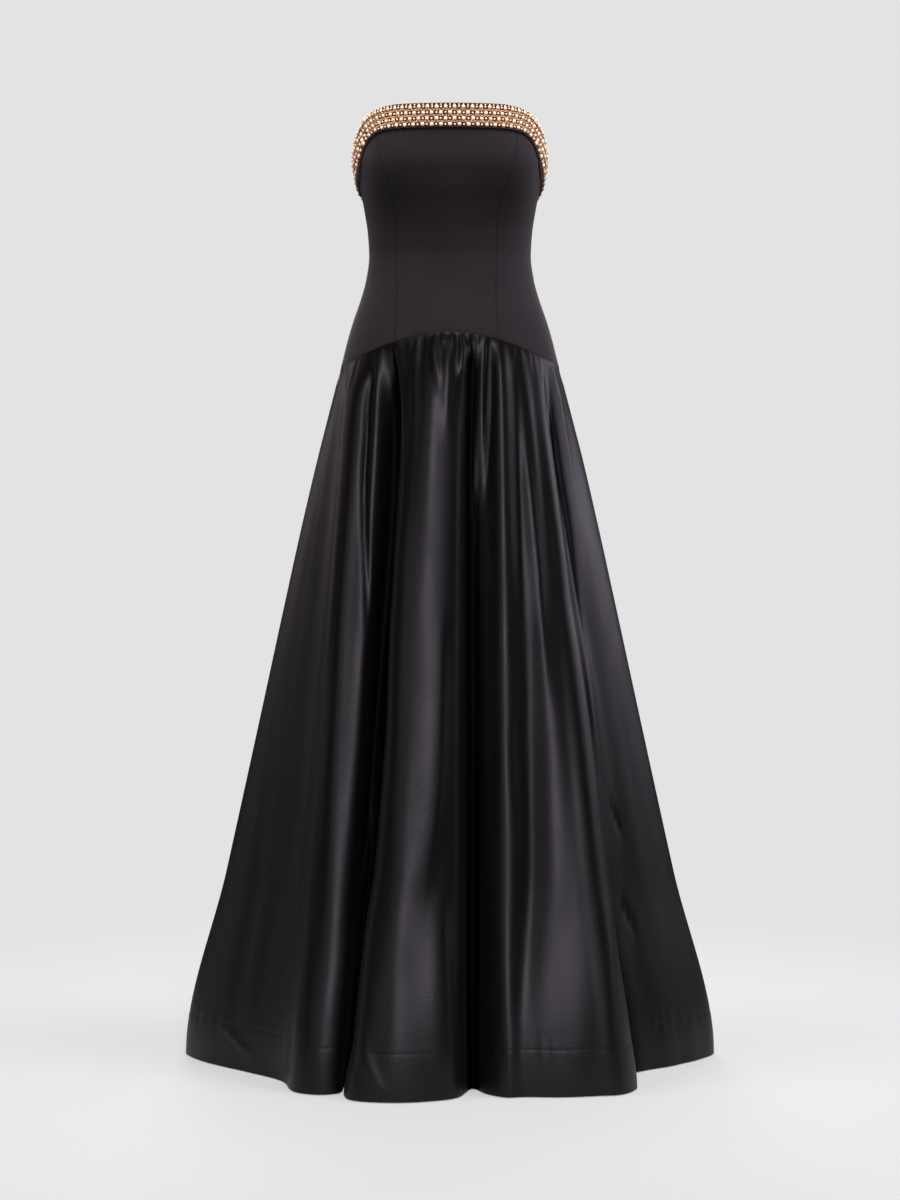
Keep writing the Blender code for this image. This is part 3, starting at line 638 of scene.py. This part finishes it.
# Skirt. Three panels of heavy black satin, gathered into the arched seam and
# falling in deep uneven folds, with the hem turned up and stitched all round.
HEM_HEIGHT = -1120.0
HEM_TURN_UP = 60.0
SATIN_WALL = 1.5
GATHER_FULL = 0.05
GATHER_AT_SEAM = 0.35
GATHER_HELD = 0.3
SEAM_TUCK = 0.012
RISE_FADE_START, RISE_FADE_END = 0.15, 0.75
Fold = namedtuple("Fold", "seam_turn across forward seam_rise bow", defaults=[0])
SKIRT_FOLDS = [
    Fold(seam_turn=-90, across=-373, forward=0, seam_rise=0),
    Fold(seam_turn=-84, across=-343, forward=64, seam_rise=0),
    Fold(seam_turn=-78, across=-295, forward=118, seam_rise=0),
    Fold(seam_turn=-71, across=-228, forward=196, seam_rise=-1),
    Fold(seam_turn=-65, across=-206, forward=268, seam_rise=2),
    Fold(seam_turn=-55, across=-172, forward=286, seam_rise=4),
    Fold(seam_turn=-44, across=-148, forward=276, seam_rise=-1, bow=4),
    Fold(seam_turn=-35, across=-142, forward=236, seam_rise=-8, bow=21),
    Fold(seam_turn=-29, across=-133, forward=316, seam_rise=-2, bow=20),
    Fold(seam_turn=-18, across=-88, forward=335, seam_rise=-1, bow=9),
    Fold(seam_turn=-7, across=-36, forward=330, seam_rise=5),
    Fold(seam_turn=3, across=8, forward=306, seam_rise=3),
    Fold(seam_turn=13, across=30, forward=248, seam_rise=-8),
    Fold(seam_turn=22, across=50, forward=282, seam_rise=-6),
    Fold(seam_turn=28, across=74, forward=303, seam_rise=3),
    Fold(seam_turn=35, across=97, forward=300, seam_rise=-1, bow=2),
    Fold(seam_turn=42, across=150, forward=301, seam_rise=1, bow=7),
    Fold(seam_turn=47.5, across=196, forward=293, seam_rise=0),
    Fold(seam_turn=53, across=229, forward=283, seam_rise=1, bow=-4),
    Fold(seam_turn=58.5, across=250, forward=243, seam_rise=1, bow=-9),
    Fold(seam_turn=62, across=243, forward=158, seam_rise=1, bow=-9),
    Fold(seam_turn=67, across=266, forward=128, seam_rise=3, bow=-4),
    Fold(seam_turn=78, across=316, forward=86, seam_rise=1),
    Fold(seam_turn=90, across=373, forward=0, seam_rise=0),
    Fold(seam_turn=100, across=345, forward=-66, seam_rise=1),
    Fold(seam_turn=110, across=286, forward=-138, seam_rise=-4),
    Fold(seam_turn=118, across=262, forward=-222, seam_rise=4, bow=-9),
    Fold(seam_turn=127, across=214, forward=-268, seam_rise=3),
    Fold(seam_turn=135, across=172, forward=-246, seam_rise=-5),
    Fold(seam_turn=143, across=142, forward=-306, seam_rise=3, bow=10),
    Fold(seam_turn=154, across=82, forward=-330, seam_rise=5),
    Fold(seam_turn=163, across=42, forward=-270, seam_rise=-7),
    Fold(seam_turn=171, across=16, forward=-316, seam_rise=2, bow=-8),
    Fold(seam_turn=180, across=-28, forward=-334, seam_rise=4),
    Fold(seam_turn=189, across=-74, forward=-318, seam_rise=2),
    Fold(seam_turn=198, across=-104, forward=-258, seam_rise=-7),
    Fold(seam_turn=207, across=-132, forward=-302, seam_rise=3, bow=9),
    Fold(seam_turn=218, across=-190, forward=-288, seam_rise=4),
    Fold(seam_turn=228, across=-222, forward=-226, seam_rise=-4, bow=-10),
    Fold(seam_turn=238, across=-262, forward=-204, seam_rise=3),
    Fold(seam_turn=250, across=-318, forward=-132, seam_rise=1),
    Fold(seam_turn=261, across=-356, forward=-62, seam_rise=0),
]
Gather = namedtuple("Gather", "turn half_turn rise reach")
GATHERS = [
    Gather(turn=-63, half_turn=3.0, rise=2.5, reach=0.55),
    Gather(turn=-42, half_turn=2.6, rise=4.0, reach=0.34),
    Gather(turn=-20, half_turn=3.0, rise=2.0, reach=0.20),
    Gather(turn=-1, half_turn=2.6, rise=4.0, reach=0.16),
    Gather(turn=7, half_turn=2.6, rise=4.5, reach=0.13),
    Gather(turn=18.5, half_turn=2.6, rise=6.0, reach=0.26),
    Gather(turn=70, half_turn=3.0, rise=2.0, reach=0.30),
    Gather(turn=101, half_turn=3.2, rise=2.5, reach=0.35),
    Gather(turn=122, half_turn=3.0, rise=4.0, reach=0.25),
    Gather(turn=148, half_turn=2.8, rise=4.0, reach=0.30),
    Gather(turn=167, half_turn=2.6, rise=4.5, reach=0.18),
    Gather(turn=185, half_turn=2.8, rise=4.0, reach=0.24),
    Gather(turn=202, half_turn=2.8, rise=4.5, reach=0.20),
    Gather(turn=223, half_turn=3.0, rise=4.0, reach=0.30),
    Gather(turn=244, half_turn=3.0, rise=2.5, reach=0.30),
]
SPREAD_DROPS = [0.0, 0.03, 0.07, 0.13, 0.22, 0.35, 0.52, 0.73, 1.0]
SPREAD_SHARES = [0.0, 0.034, 0.080, 0.147, 0.241, 0.368, 0.531, 0.735, 1.0]
spread_at = monotone_curve(SPREAD_DROPS, SPREAD_SHARES)

fold_count = len(SKIRT_FOLDS)
hem_line = np.array([(fold.across, fold.forward) for fold in SKIRT_FOLDS], float)
hem_spans = np.linalg.norm(np.roll(hem_line, -1, axis=0) - hem_line, axis=1) ** 0.5
once_round = [fold.seam_turn for fold in SKIRT_FOLDS]
past_both_ends = [once_round[-1] - 360] + once_round + [turn + 360 for turn in once_round[:2]]
turn_at = monotone_curve(np.arange(-1, fold_count + 2), past_both_ends)


def closed_curve(name):
    """A smooth closed curve through one value of each fold line."""
    values = np.array([getattr(fold, name) for fold in SKIRT_FOLDS], float)
    before = np.roll(hem_spans, 1)
    back = (values - np.roll(values, 1)) / before
    front = (np.roll(values, -1) - values) / hem_spans
    tangents = (back * hem_spans + front * before) / (before + hem_spans)

    def value(along):
        i = np.floor(along).astype(int) % fold_count
        j = (i + 1) % fold_count
        t = along - np.floor(along)
        return cubic_step(t, hem_spans[i], values[i], tangents[i], values[j], tangents[j])

    return value


across_at = closed_curve("across")
forward_at = closed_curve("forward")
rise_at = closed_curve("seam_rise")
bow_at = closed_curve("bow")
BOW_DROPS = [0, 0.1, 0.16, 0.37, 0.53, 0.69, 0.8, 0.93, 1.0]
BOW_SHARES = [0, 0.55, 0.7, 0.78, 1.0, 0.95, 0.6, 0.45, 0.0]
bow_swell = monotone_curve(BOW_DROPS, BOW_SHARES)


def skirt_point(along, drop):
    """Points of the skirt's outside: along counts fold lines round it, drop goes from seam to hem."""
    turn = turn_at(along % fold_count)
    top = yoke_height(turn) - 0.5 * SEAM_GAP
    seam = body_point(turn, top)
    gathered = np.zeros(np.broadcast(along, drop).shape)
    for gather in GATHERS:
        lasting = 1 - smooth_step(drop, GATHER_HELD * gather.reach, gather.reach)
        gathered = gathered + gather.rise * bell(turn_past(turn, gather.turn), gather.half_turn) * lasting
    opening = GATHER_AT_SEAM + (1 - GATHER_AT_SEAM) * smooth_step(drop, 0.0, GATHER_FULL)
    opening = opening * smooth_step(drop, 0.0, SEAM_TUCK)
    fading = 1 - smooth_step(drop, RISE_FADE_START, RISE_FADE_END)
    out = opening * (rise_at(along) * fading + gathered)
    spread = spread_at(drop)
    reach = np.hypot(seam[..., 0], seam[..., 1])
    aside = bow_at(along) * bow_swell(drop)
    x = seam[..., 0] + (across_at(along) - seam[..., 0]) * spread + out * seam[..., 0] / reach + aside
    y = seam[..., 1] + (-forward_at(along) - seam[..., 1]) * spread + out * seam[..., 1] / reach
    z = top + (HEM_HEIGHT - top) * drop
    return np.stack(np.broadcast_arrays(x, y, z), axis=-1)


# Creases of the front, read off the photograph. Each lists photo row, photo
# column and rise in millimetres, and how far it spreads to the left and right.
Crease = namedtuple("Crease", "left right path")
FRONT_CREASES = [
    Crease(14, 8, [(370, 369, 0), (385, 359, 3), (420, 354, 4.5), (460, 352, 4.5), (527, 347, 4.5),
        (618, 340, 4), (739, 334, 2.5), (871, 329, 1.5), (960, 327, 0)]),
    Crease(3, 3, [(366, 374, 0), (378, 372, -3), (400, 368, -5), (440, 366.5, -5.5), (480, 364.5, -5),
        (520, 364.5, -4.5), (560, 366, -3.5), (600, 367, -2), (640, 366, 0)]),
    Crease(13, 3, [(370, 393, 0), (400, 396, -7), (440, 397, -10), (500, 396, -11), (560, 392, -11),
        (620, 387, -10), (700, 380, -8), (800, 371, -6), (900, 359, -3), (980, 350, 0)]),
    Crease(14, 18, [(350, 428, 0), (380, 424, 3), (400, 422, 4), (430, 419, 4.5), (500, 413, 4.5),
        (540, 408, 4.5), (620, 404, 4), (700, 400, 4), (739, 401, 3), (840, 398, 3), (880, 397, 2.5),
        (920, 395, 2.5), (960, 390, 2), (1010, 384, 0)]),
    Crease(20, 8, [(590, 441, 0), (680, 440, 4), (740, 439, 5), (800, 436, 5), (840, 431, 4),
        (880, 424, 2), (905, 419, 0)]),
    Crease(20, 8, [(882, 440, 0), (920, 441, 3), (960, 443, 5), (1000, 445, 5.5), (1050, 447, 5),
        (1098, 448, 1)]),
    Crease(4, 5, [(334, 432, 0.5), (350, 433, 2.5), (370, 437, 2.5), (390, 440, 1), (402, 441, 0)]),
    Crease(7, 7, [(338, 470, 0.5), (352, 465, 3), (370, 459, 3), (385, 454, 1.5), (398, 449, 0)]),
    Crease(4, 4, [(345, 484, 0), (370, 482, 1), (430, 477, 2), (470, 474.5, 3), (500, 473, 3),
        (540, 472, 1.5), (575, 471, 0)]),
    Crease(3, 4, [(342, 491, -1), (370, 492, -2), (400, 492, -2.5), (440, 490, -2.5), (480, 487, -2),
        (520, 484, 0)]),
    Crease(12, 10, [(342, 501, 0.5), (370, 504, 3), (430, 507, 4), (500, 508, 4), (560, 510, 4),
        (620, 513, 4), (700, 514, 3.5), (745, 509, 3), (790, 512, 3), (850, 515, 3), (900, 515, 2.5),
        (960, 514, 1.5), (1035, 511, 0)]),
    Crease(5, 6, [(350, 517, 0), (380, 518, -1), (440, 519, -1.5), (540, 521, -1.5), (600, 523, -1),
        (640, 524, 0)]),
    Crease(13, 13, [(590, 526, 0), (640, 527, -2.5), (700, 530, -4.5), (780, 532, -6), (860, 532, -6),
        (940, 528, -5), (1000, 524, -2), (1045, 520, 0)]),
    Crease(36, 12, [(590, 568, 0), (640, 575, 4), (700, 584, 8), (760, 591, 10), (840, 598, 11),
        (920, 603, 10), (980, 606, 7), (1040, 606, 3), (1085, 605, 0)]),
    Crease(7, 5, [(362, 518, 0), (378, 519, 1.2), (436, 523, 1.8), (494, 530, 2.5), (540, 535, 2.5),
        (569, 538, 2.5), (620, 541, 2.5), (680, 545, 1), (720, 548, 0)]),
    Crease(8, 6, [(400, 541, 0), (430, 547, 0.5), (461, 552, 1.3), (520, 559, 2.4), (569, 568, 3),
        (620, 576, 3), (701, 586, 4), (800, 594, 1), (830, 596, 0)]),
    Crease(1.4, 1.4, [(366, 544, 0), (374, 544, -1.2), (400, 545.5, -1.2), (440, 552, -1.2),
        (480, 557.5, -1.4), (530, 566, -1.4), (560, 570, -1.4), (600, 576, -1.2), (640, 581, -0.8),
        (690, 586, 0)]),
    Crease(4, 8, [(370, 549, 0), (385, 550, 1.3), (400, 551.5, 2), (440, 557, 3), (480, 563, 3),
        (530, 571, 2.8), (560, 575, 2.2), (600, 581, 1.0), (640, 587, 0)]),
    Crease(2.5, 2.5, [(799, 607, 0), (808, 611, -2.5), (822, 617, -2.5), (838, 624, 0)]),
    Crease(2.5, 2.5, [(893, 617, 0), (904, 622, -2.5), (922, 631, -2.5), (938, 639, 0)]),
    Crease(3, 3, [(378, 355, 0), (400, 352, 0.5), (511, 342, 0.6), (684, 325, 0.8), (871, 309, 0.9),
        (1031, 296, 0.5)]),
    Crease(4, 4, [(1022, 221, 0), (1032, 229, 2), (1048, 243, 2), (1060, 254, 0)]),
    Crease(9, 6, [(1024, 358, 0), (1040, 362, 1.5), (1065, 368, 2.5), (1095, 380, 2)]),
]
PHOTO_FOCAL = 3214.0
PHOTO_MIDDLE_COLUMN, PHOTO_MIDDLE_ROW = 450.0, 600.0


def photo_place(points):
    """Column and row of the photograph at which the camera sees each point."""
    dip = math.radians(CAMERA_DIP)
    away = CAMERA_AWAY / MM + points[..., 1]
    above = points[..., 2] - CAMERA_HEIGHT / MM
    ahead = away * math.cos(dip) - above * math.sin(dip)
    up = away * math.sin(dip) + above * math.cos(dip)
    column = PHOTO_MIDDLE_COLUMN + PHOTO_FOCAL * points[..., 0] / ahead
    return column, PHOTO_MIDDLE_ROW - PHOTO_FOCAL * up / ahead


def crease_course(crease, down):
    """Middle and rise of a crease at places down its path, with no rise beyond its ends."""
    downs, middles, rises = zip(*crease.path)
    rise = monotone_curve(downs, rises)(down) * ((down >= downs[0]) & (down <= downs[-1]))
    return monotone_curve(downs, middles)(down), rise


def crease_share(crease, beside):
    """Share of a crease's rise at a distance beside its middle."""
    return bell(beside, np.where(beside < 0, crease.left, crease.right))


def front_relief(points, normals):
    """Rise of the front's creases at each point, in millimetres, none where it faces away."""
    column, row = photo_place(points)
    relief = np.zeros(column.shape)
    for crease in FRONT_CREASES:
        middle, rise = crease_course(crease, row)
        relief += rise * crease_share(crease, column - middle)
    return relief * smooth_step(-normals[..., 1], 0.05, 0.35)


# Fine gathers of the seam, close together and uneven, most at the front's crown.
CROWN_TURN, CROWN_WIDTH, CROWN_EXTRA = 6.0, 24.0, 2.4
FINE_TUCK, FINE_HELD = 0.006, 0.15
chance = random.Random(21)
fine_gathers = []
gather_turn = -180.0
while gather_turn < 180.0:
    half_turn = chance.uniform(1.0, 1.7)
    rise = chance.uniform(0.2, 0.55) * (1 + CROWN_EXTRA * bell(gather_turn - CROWN_TURN, CROWN_WIDTH))
    fine_gathers.append(Gather(gather_turn, half_turn, rise, reach=chance.uniform(0.03, 0.075)))
    gather_turn += chance.uniform(4.0, 6.6)


def fine_relief(turn, drop):
    relief = np.zeros(np.broadcast(turn, drop).shape)
    for gather in fine_gathers:
        lasting = 1 - smooth_step(drop, FINE_HELD * gather.reach, gather.reach)
        lasting = smooth_step(drop, 0.0, FINE_TUCK) * lasting
        relief += gather.rise * bell(turn_past(turn, gather.turn), gather.half_turn) * lasting
    return relief


WANDER_SWELLS = 9


def soft_wander(along_mm, down_mm, seed):
    """Slight unevenness of hanging cloth: long upright swells that drift from side to side."""
    chance = random.Random(seed)
    swell = np.zeros(np.broadcast(along_mm, down_mm).shape)
    for _ in range(WANDER_SWELLS):
        across = chance.uniform(45.0, 110.0)
        down = chance.uniform(320.0, 800.0)
        rise = chance.uniform(0.05, 0.13)
        waves = 2 * math.pi * (along_mm / across + down_mm / down * chance.choice((-1, 1)))
        swell += rise * np.sin(waves + chance.uniform(0, 6.28))
    return swell


# Creases of the back, made like those of the front. Each lists how far down the
# skirt, the seam turn and the rise in millimetres, and its reach to each side.
BACK_CREASES = [
    Crease(16, 12, [(0.04, 97, 0), (0.15, 98, 2.5), (0.45, 98, 4), (0.75, 99, 2), (0.95, 99, 0)]),
    Crease(12, 5, [(0.03, 109, 0), (0.14, 110, -4), (0.45, 110, -6), (0.80, 109, -3), (0.96, 109, 0)]),
    Crease(10, 16, [(0.02, 116, 0), (0.10, 117, 3), (0.35, 119, 5), (0.70, 119, 3.5), (0.95, 118, 0)]),
    Crease(4, 4, [(0.02, 123, 0), (0.06, 124, -3.5), (0.16, 125, -4), (0.30, 125, -2), (0.42, 125, 0)]),
    Crease(12, 4, [(0.03, 134, 0), (0.12, 135, -5), (0.40, 135, -8), (0.75, 134, -5), (0.92, 133, 0)]),
    Crease(14, 9, [(0.04, 149, 0), (0.15, 148, 4), (0.40, 146, 5), (0.70, 144, 3), (0.88, 143, 0)]),
    Crease(4, 5, [(0.0, 158, 0.5), (0.03, 157, 2.5), (0.08, 155, 2.5), (0.14, 154, 0)]),
    Crease(12, 4, [(0.03, 164, 0), (0.12, 163, -5), (0.45, 163, -8), (0.80, 162, -4), (0.95, 161, 0)]),
    Crease(20, 10, [(0.45, 173, 0), (0.60, 172, 4), (0.80, 171, 5), (0.92, 171, 0)]),
    Crease(5, 6, [(0.0, 187, 0.5), (0.04, 188, 3), (0.10, 190, 3), (0.17, 192, 0)]),
    Crease(4, 12, [(0.03, 197, 0), (0.12, 198, -4), (0.45, 198, -7), (0.80, 199, -4), (0.95, 199, 0)]),
    Crease(14, 10, [(0.05, 208, 0), (0.20, 209, 3.5), (0.50, 208, 5), (0.80, 207, 2), (0.92, 207, 0)]),
    Crease(10, 4, [(0.30, 214, 0), (0.45, 213, -3), (0.65, 212, -3), (0.80, 211, 0)]),
    Crease(4, 10, [(0.03, 227, 0), (0.14, 228, -4), (0.45, 228, -6), (0.78, 229, -3), (0.94, 229, 0)]),
    Crease(10, 14, [(0.06, 238, 0), (0.20, 239, 3), (0.55, 240, 4), (0.80, 240, 2), (0.95, 240, 0)]),
    Crease(8, 8, [(0.10, 251, 0), (0.30, 251, -2), (0.60, 250, -3), (0.85, 250, 0)]),
]


def back_relief(turn, drop, across_mm):
    """Rise of the back's creases at each point, in millimetres, row by row of its cloth."""
    relief = np.zeros(turn.shape)
    for crease in BACK_CREASES:
        middle, rise = crease_course(crease, drop[:, 0])
        for row in range(len(turn)):
            if rise[row] and turn[row, 0] < middle[row] < turn[row, -1]:
                beside = across_mm[row] - np.interp(middle[row], turn[row], across_mm[row])
                relief[row] += rise[row] * crease_share(crease, beside)
    return relief


# Painted shade in the hollows of the folds, from narrow to broad: the columns looked at to each side,
# the bend at which the painted shade starts and is full, and its weight.
Hollow = namedtuple("Hollow", "reach start end weight")
HOLLOWS = [
    Hollow(reach=3, start=0.12, end=0.36, weight=0.30),
    Hollow(reach=9, start=0.14, end=0.45, weight=0.45),
    Hollow(reach=18, start=0.14, end=0.50, weight=0.55),
    Hollow(reach=30, start=0.16, end=0.50, weight=0.50),
]
DEEPEST_HOLLOW = 0.94


def fold_hollow(points, normals):
    """How far each point lies in a hollow of the folds, from 0 on open cloth to 1 at a deep bottom; the satin
    paints shade there by it.
    """
    hollow = np.zeros(points.shape[:2])
    for reach, start, end, weight in HOLLOWS:
        beside = (points[:, 2 * reach:] + points[:, :-2 * reach]) / 2 - points[:, reach:-reach]
        span = np.linalg.norm(points[:, 2 * reach:] - points[:, :-2 * reach], axis=2) / 2
        bend = np.sum(beside * normals[:, reach:-reach], axis=2) / span
        hollow[:, reach:-reach] += weight * smooth_step(bend, start, end)
    return np.minimum(hollow, DEEPEST_HOLLOW)


satin, nodes = new_material("black_satin")
satin_shader = set_sockets(nodes["Principled BSDF"], {
    "Base Color": (0.0014, 0.0010, 0.0006, 1.0), "Specular IOR Level": 0.5, "Sheen Weight": 0.006
})
satin_place = add_node(nodes, "UVMap", uv_map="cloth")


def satin_noise(across, up, detail):
    """Noise laid on the flat cloth, with so many waves a metre across and up it."""
    stretch = add_node(nodes, "Mapping", {"Scale": (across, up, 1.0)})
    noise = add_node(nodes, "TexNoise", {"Scale": 1.0, "Detail": detail})
    join_nodes((satin_place, "UV", stretch, "Vector"), (stretch, "Vector", noise, "Vector"))
    return noise


satin_cloud = satin_noise(30.0, 9.0, detail=4.0)
satin_weave = satin_noise(500.0, 2600.0, detail=2.0)
satin_slub = satin_noise(150.0, 420.0, detail=3.0)
satin_rough = add_node(nodes, "MapRange", {"From Min": 0.3, "From Max": 0.7, "To Min": 0.39, "To Max": 0.46})
satin_bump = add_node(nodes, "Bump", {"Strength": 0.25, "Distance": 0.00012})
satin_soft = add_node(nodes, "Bump", {"Strength": 0.32, "Distance": 0.0006})
# Painted shade: deep in the folds' hollows the satin gives way to a near-black matte sheet.
satin_hollow_shade_mask = add_node(nodes, "Attribute", attribute_name="hollow")
satin_painted_shade = add_node(nodes, "BsdfDiffuse", {"Color": (0.0010, 0.0008, 0.0007, 1.0)})
satin_shade_mix = add_node(nodes, "MixShader")
join_nodes(
    (satin_cloud, "Fac", satin_rough, "Value"),
    (satin_rough, "Result", satin_shader, "Roughness"),
    (satin_weave, "Fac", satin_bump, "Height"),
    (satin_slub, "Fac", satin_soft, "Height"),
    (satin_bump, "Normal", satin_soft, "Normal"),
    (satin_soft, "Normal", satin_shader, "Normal"),
    (satin_hollow_shade_mask, "Fac", satin_shade_mix, "Fac"),
    (satin_shader, "BSDF", satin_shade_mix, 1),
    (satin_painted_shade, "BSDF", satin_shade_mix, 2),
    (satin_shade_mix, "Shader", nodes["Material Output"], "Surface"),
)

SkirtPanel = namedtuple("SkirtPanel", "name first_turn last_turn columns")
SKIRT_PANELS = [
    SkirtPanel(name="skirt_front", first_turn=-90, last_turn=90, columns=430),
    SkirtPanel(name="skirt_back_right", first_turn=90, last_turn=180, columns=210),
    SkirtPanel(name="skirt_back_left", first_turn=180, last_turn=270, columns=210),
]
SKIRT_LENGTH = float(yoke_height(90.0)) - HEM_HEIGHT
SKIRT_ROWS, ROW_CROWDING = 84, 1.35
STITCH_ROWS = np.array([-0.004, -0.002, -0.0008, 0.0, 0.0008, 0.002, 0.004])
CLEAR_ABOVE, CLEAR_BELOW = 0.006, 0.008
HEM_ROWS = 12
STITCH_DIP, STITCH_WIDTH = 0.16, 1.3
DOUBLED_OUT, DOUBLED_REACH = 0.2, 5.0
PUCKER_OUT, PUCKER_STEP, PUCKER_REACH = 0.35, 3.1, 14.0
PUCKER_DRIFT, DRIFT_STEP = 2.0, 23.0
PATCH_STEP, PATCH_START = 61.0, 0.7
EDGE_HOLD, SEAM_HOLD = 30.0, 0.01
stitched = 1 - HEM_TURN_UP / SKIRT_LENGTH
upper_drops = np.linspace(0.0, 1.0, SKIRT_ROWS) ** ROW_CROWDING * (stitched - CLEAR_ABOVE)
lower_drops = np.linspace(stitched + CLEAR_BELOW, 1.0, HEM_ROWS)
skirt_drops = np.concatenate([upper_drops, stitched + STITCH_ROWS, lower_drops])[::-1]
fold_turns = once_round + [once_round[0] + 360]
for skirt_panel in SKIRT_PANELS:
    first = fold_turns.index(skirt_panel.first_turn)
    last = fold_turns.index(skirt_panel.last_turn)
    fine = np.linspace(first, last, 60 * (last - first) + 1)
    hem_walk = np.hypot(np.diff(across_at(fine)), np.diff(forward_at(fine)))
    hem_walk = np.concatenate([[0.0], np.cumsum(hem_walk)])
    evenly = np.interp(np.linspace(0.0, hem_walk[-1], skirt_panel.columns + 1), hem_walk, fine)
    hem_mm = np.interp(evenly, fine, hem_walk)[None, :]
    along, drop = np.meshgrid(evenly, skirt_drops)
    turn = turn_at(along)
    points = skirt_point(along, drop)
    normals = np.cross(np.gradient(points, axis=1), np.gradient(points, axis=0))
    normals /= np.linalg.norm(normals, axis=2, keepdims=True)
    below = (drop - stitched) * SKIRT_LENGTH
    stitch_dip = STITCH_DIP * bell(below, STITCH_WIDTH)
    doubled = DOUBLED_OUT * smooth_step(below, 0.0, DOUBLED_REACH)
    edge_hold = smooth_step(hem_mm, 0.0, EDGE_HOLD) * smooth_step(hem_walk[-1] - hem_mm, 0.0, EDGE_HOLD)
    seam_hold = smooth_step(drop, 0.0, SEAM_HOLD)
    pucker = PUCKER_OUT * np.sin(hem_mm / PUCKER_STEP + PUCKER_DRIFT * np.sin(hem_mm / DRIFT_STEP))
    pucker = pucker * bell(below, PUCKER_REACH)
    pucker = pucker * smooth_step(np.sin(hem_mm / PATCH_STEP + PATCH_START), 0.1, 0.9)
    relief = soft_wander(hem_mm, drop * SKIRT_LENGTH, 31) * smooth_step(drop, 0.15, 0.9)
    if skirt_panel.name == "skirt_front":
        relief = relief + front_relief(points, normals)
    else:
        relief = relief + back_relief(turn, drop, cloth_places(points)[..., 0] / MM)
    relief = relief * edge_hold * seam_hold + fine_relief(turn, drop) + pucker * edge_hold
    points = points + normals * (relief + doubled - stitch_dip)[..., None]
    places = cloth_places(points)
    # How deep each point lies in a fold's hollow, which sets the satin's painted shade.
    hollow = fold_hollow(points, normals)
    panel = cloth_panel(skirt_panel.name + "_cloth", points, SATIN_WALL, places, satin, hollow)
    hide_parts(skirt_panel.name)
    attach(panel, "gown")

# Zip. The slider and its pull are small blackened metal pieces that stand at
# the top of the concealed zip, between the two ends of the beaded band.
zip_metal, nodes = new_material("blackened_zip_metal")
zip_shader = set_sockets(nodes["Principled BSDF"], {
    "Metallic": 0.9, "Base Color": (0.05, 0.046, 0.048, 1.0)
})
zip_place = add_node(nodes, "TexCoord")
zip_wear = add_node(nodes, "TexNoise", {"Scale": 600.0})
zip_rough = add_node(nodes, "MapRange", {"To Min": 0.25, "To Max": 0.5})
join_nodes(
    (zip_place, "Object", zip_wear, "Vector"),
    (zip_wear, "Fac", zip_rough, "Value"),
    (zip_rough, "Result", zip_shader, "Roughness"),
)
for name in ("zip_slider", "zip_pull"):
    metal_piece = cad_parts[name]
    metal_piece.data.materials.clear()
    metal_piece.data.materials.append(zip_metal)

low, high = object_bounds()
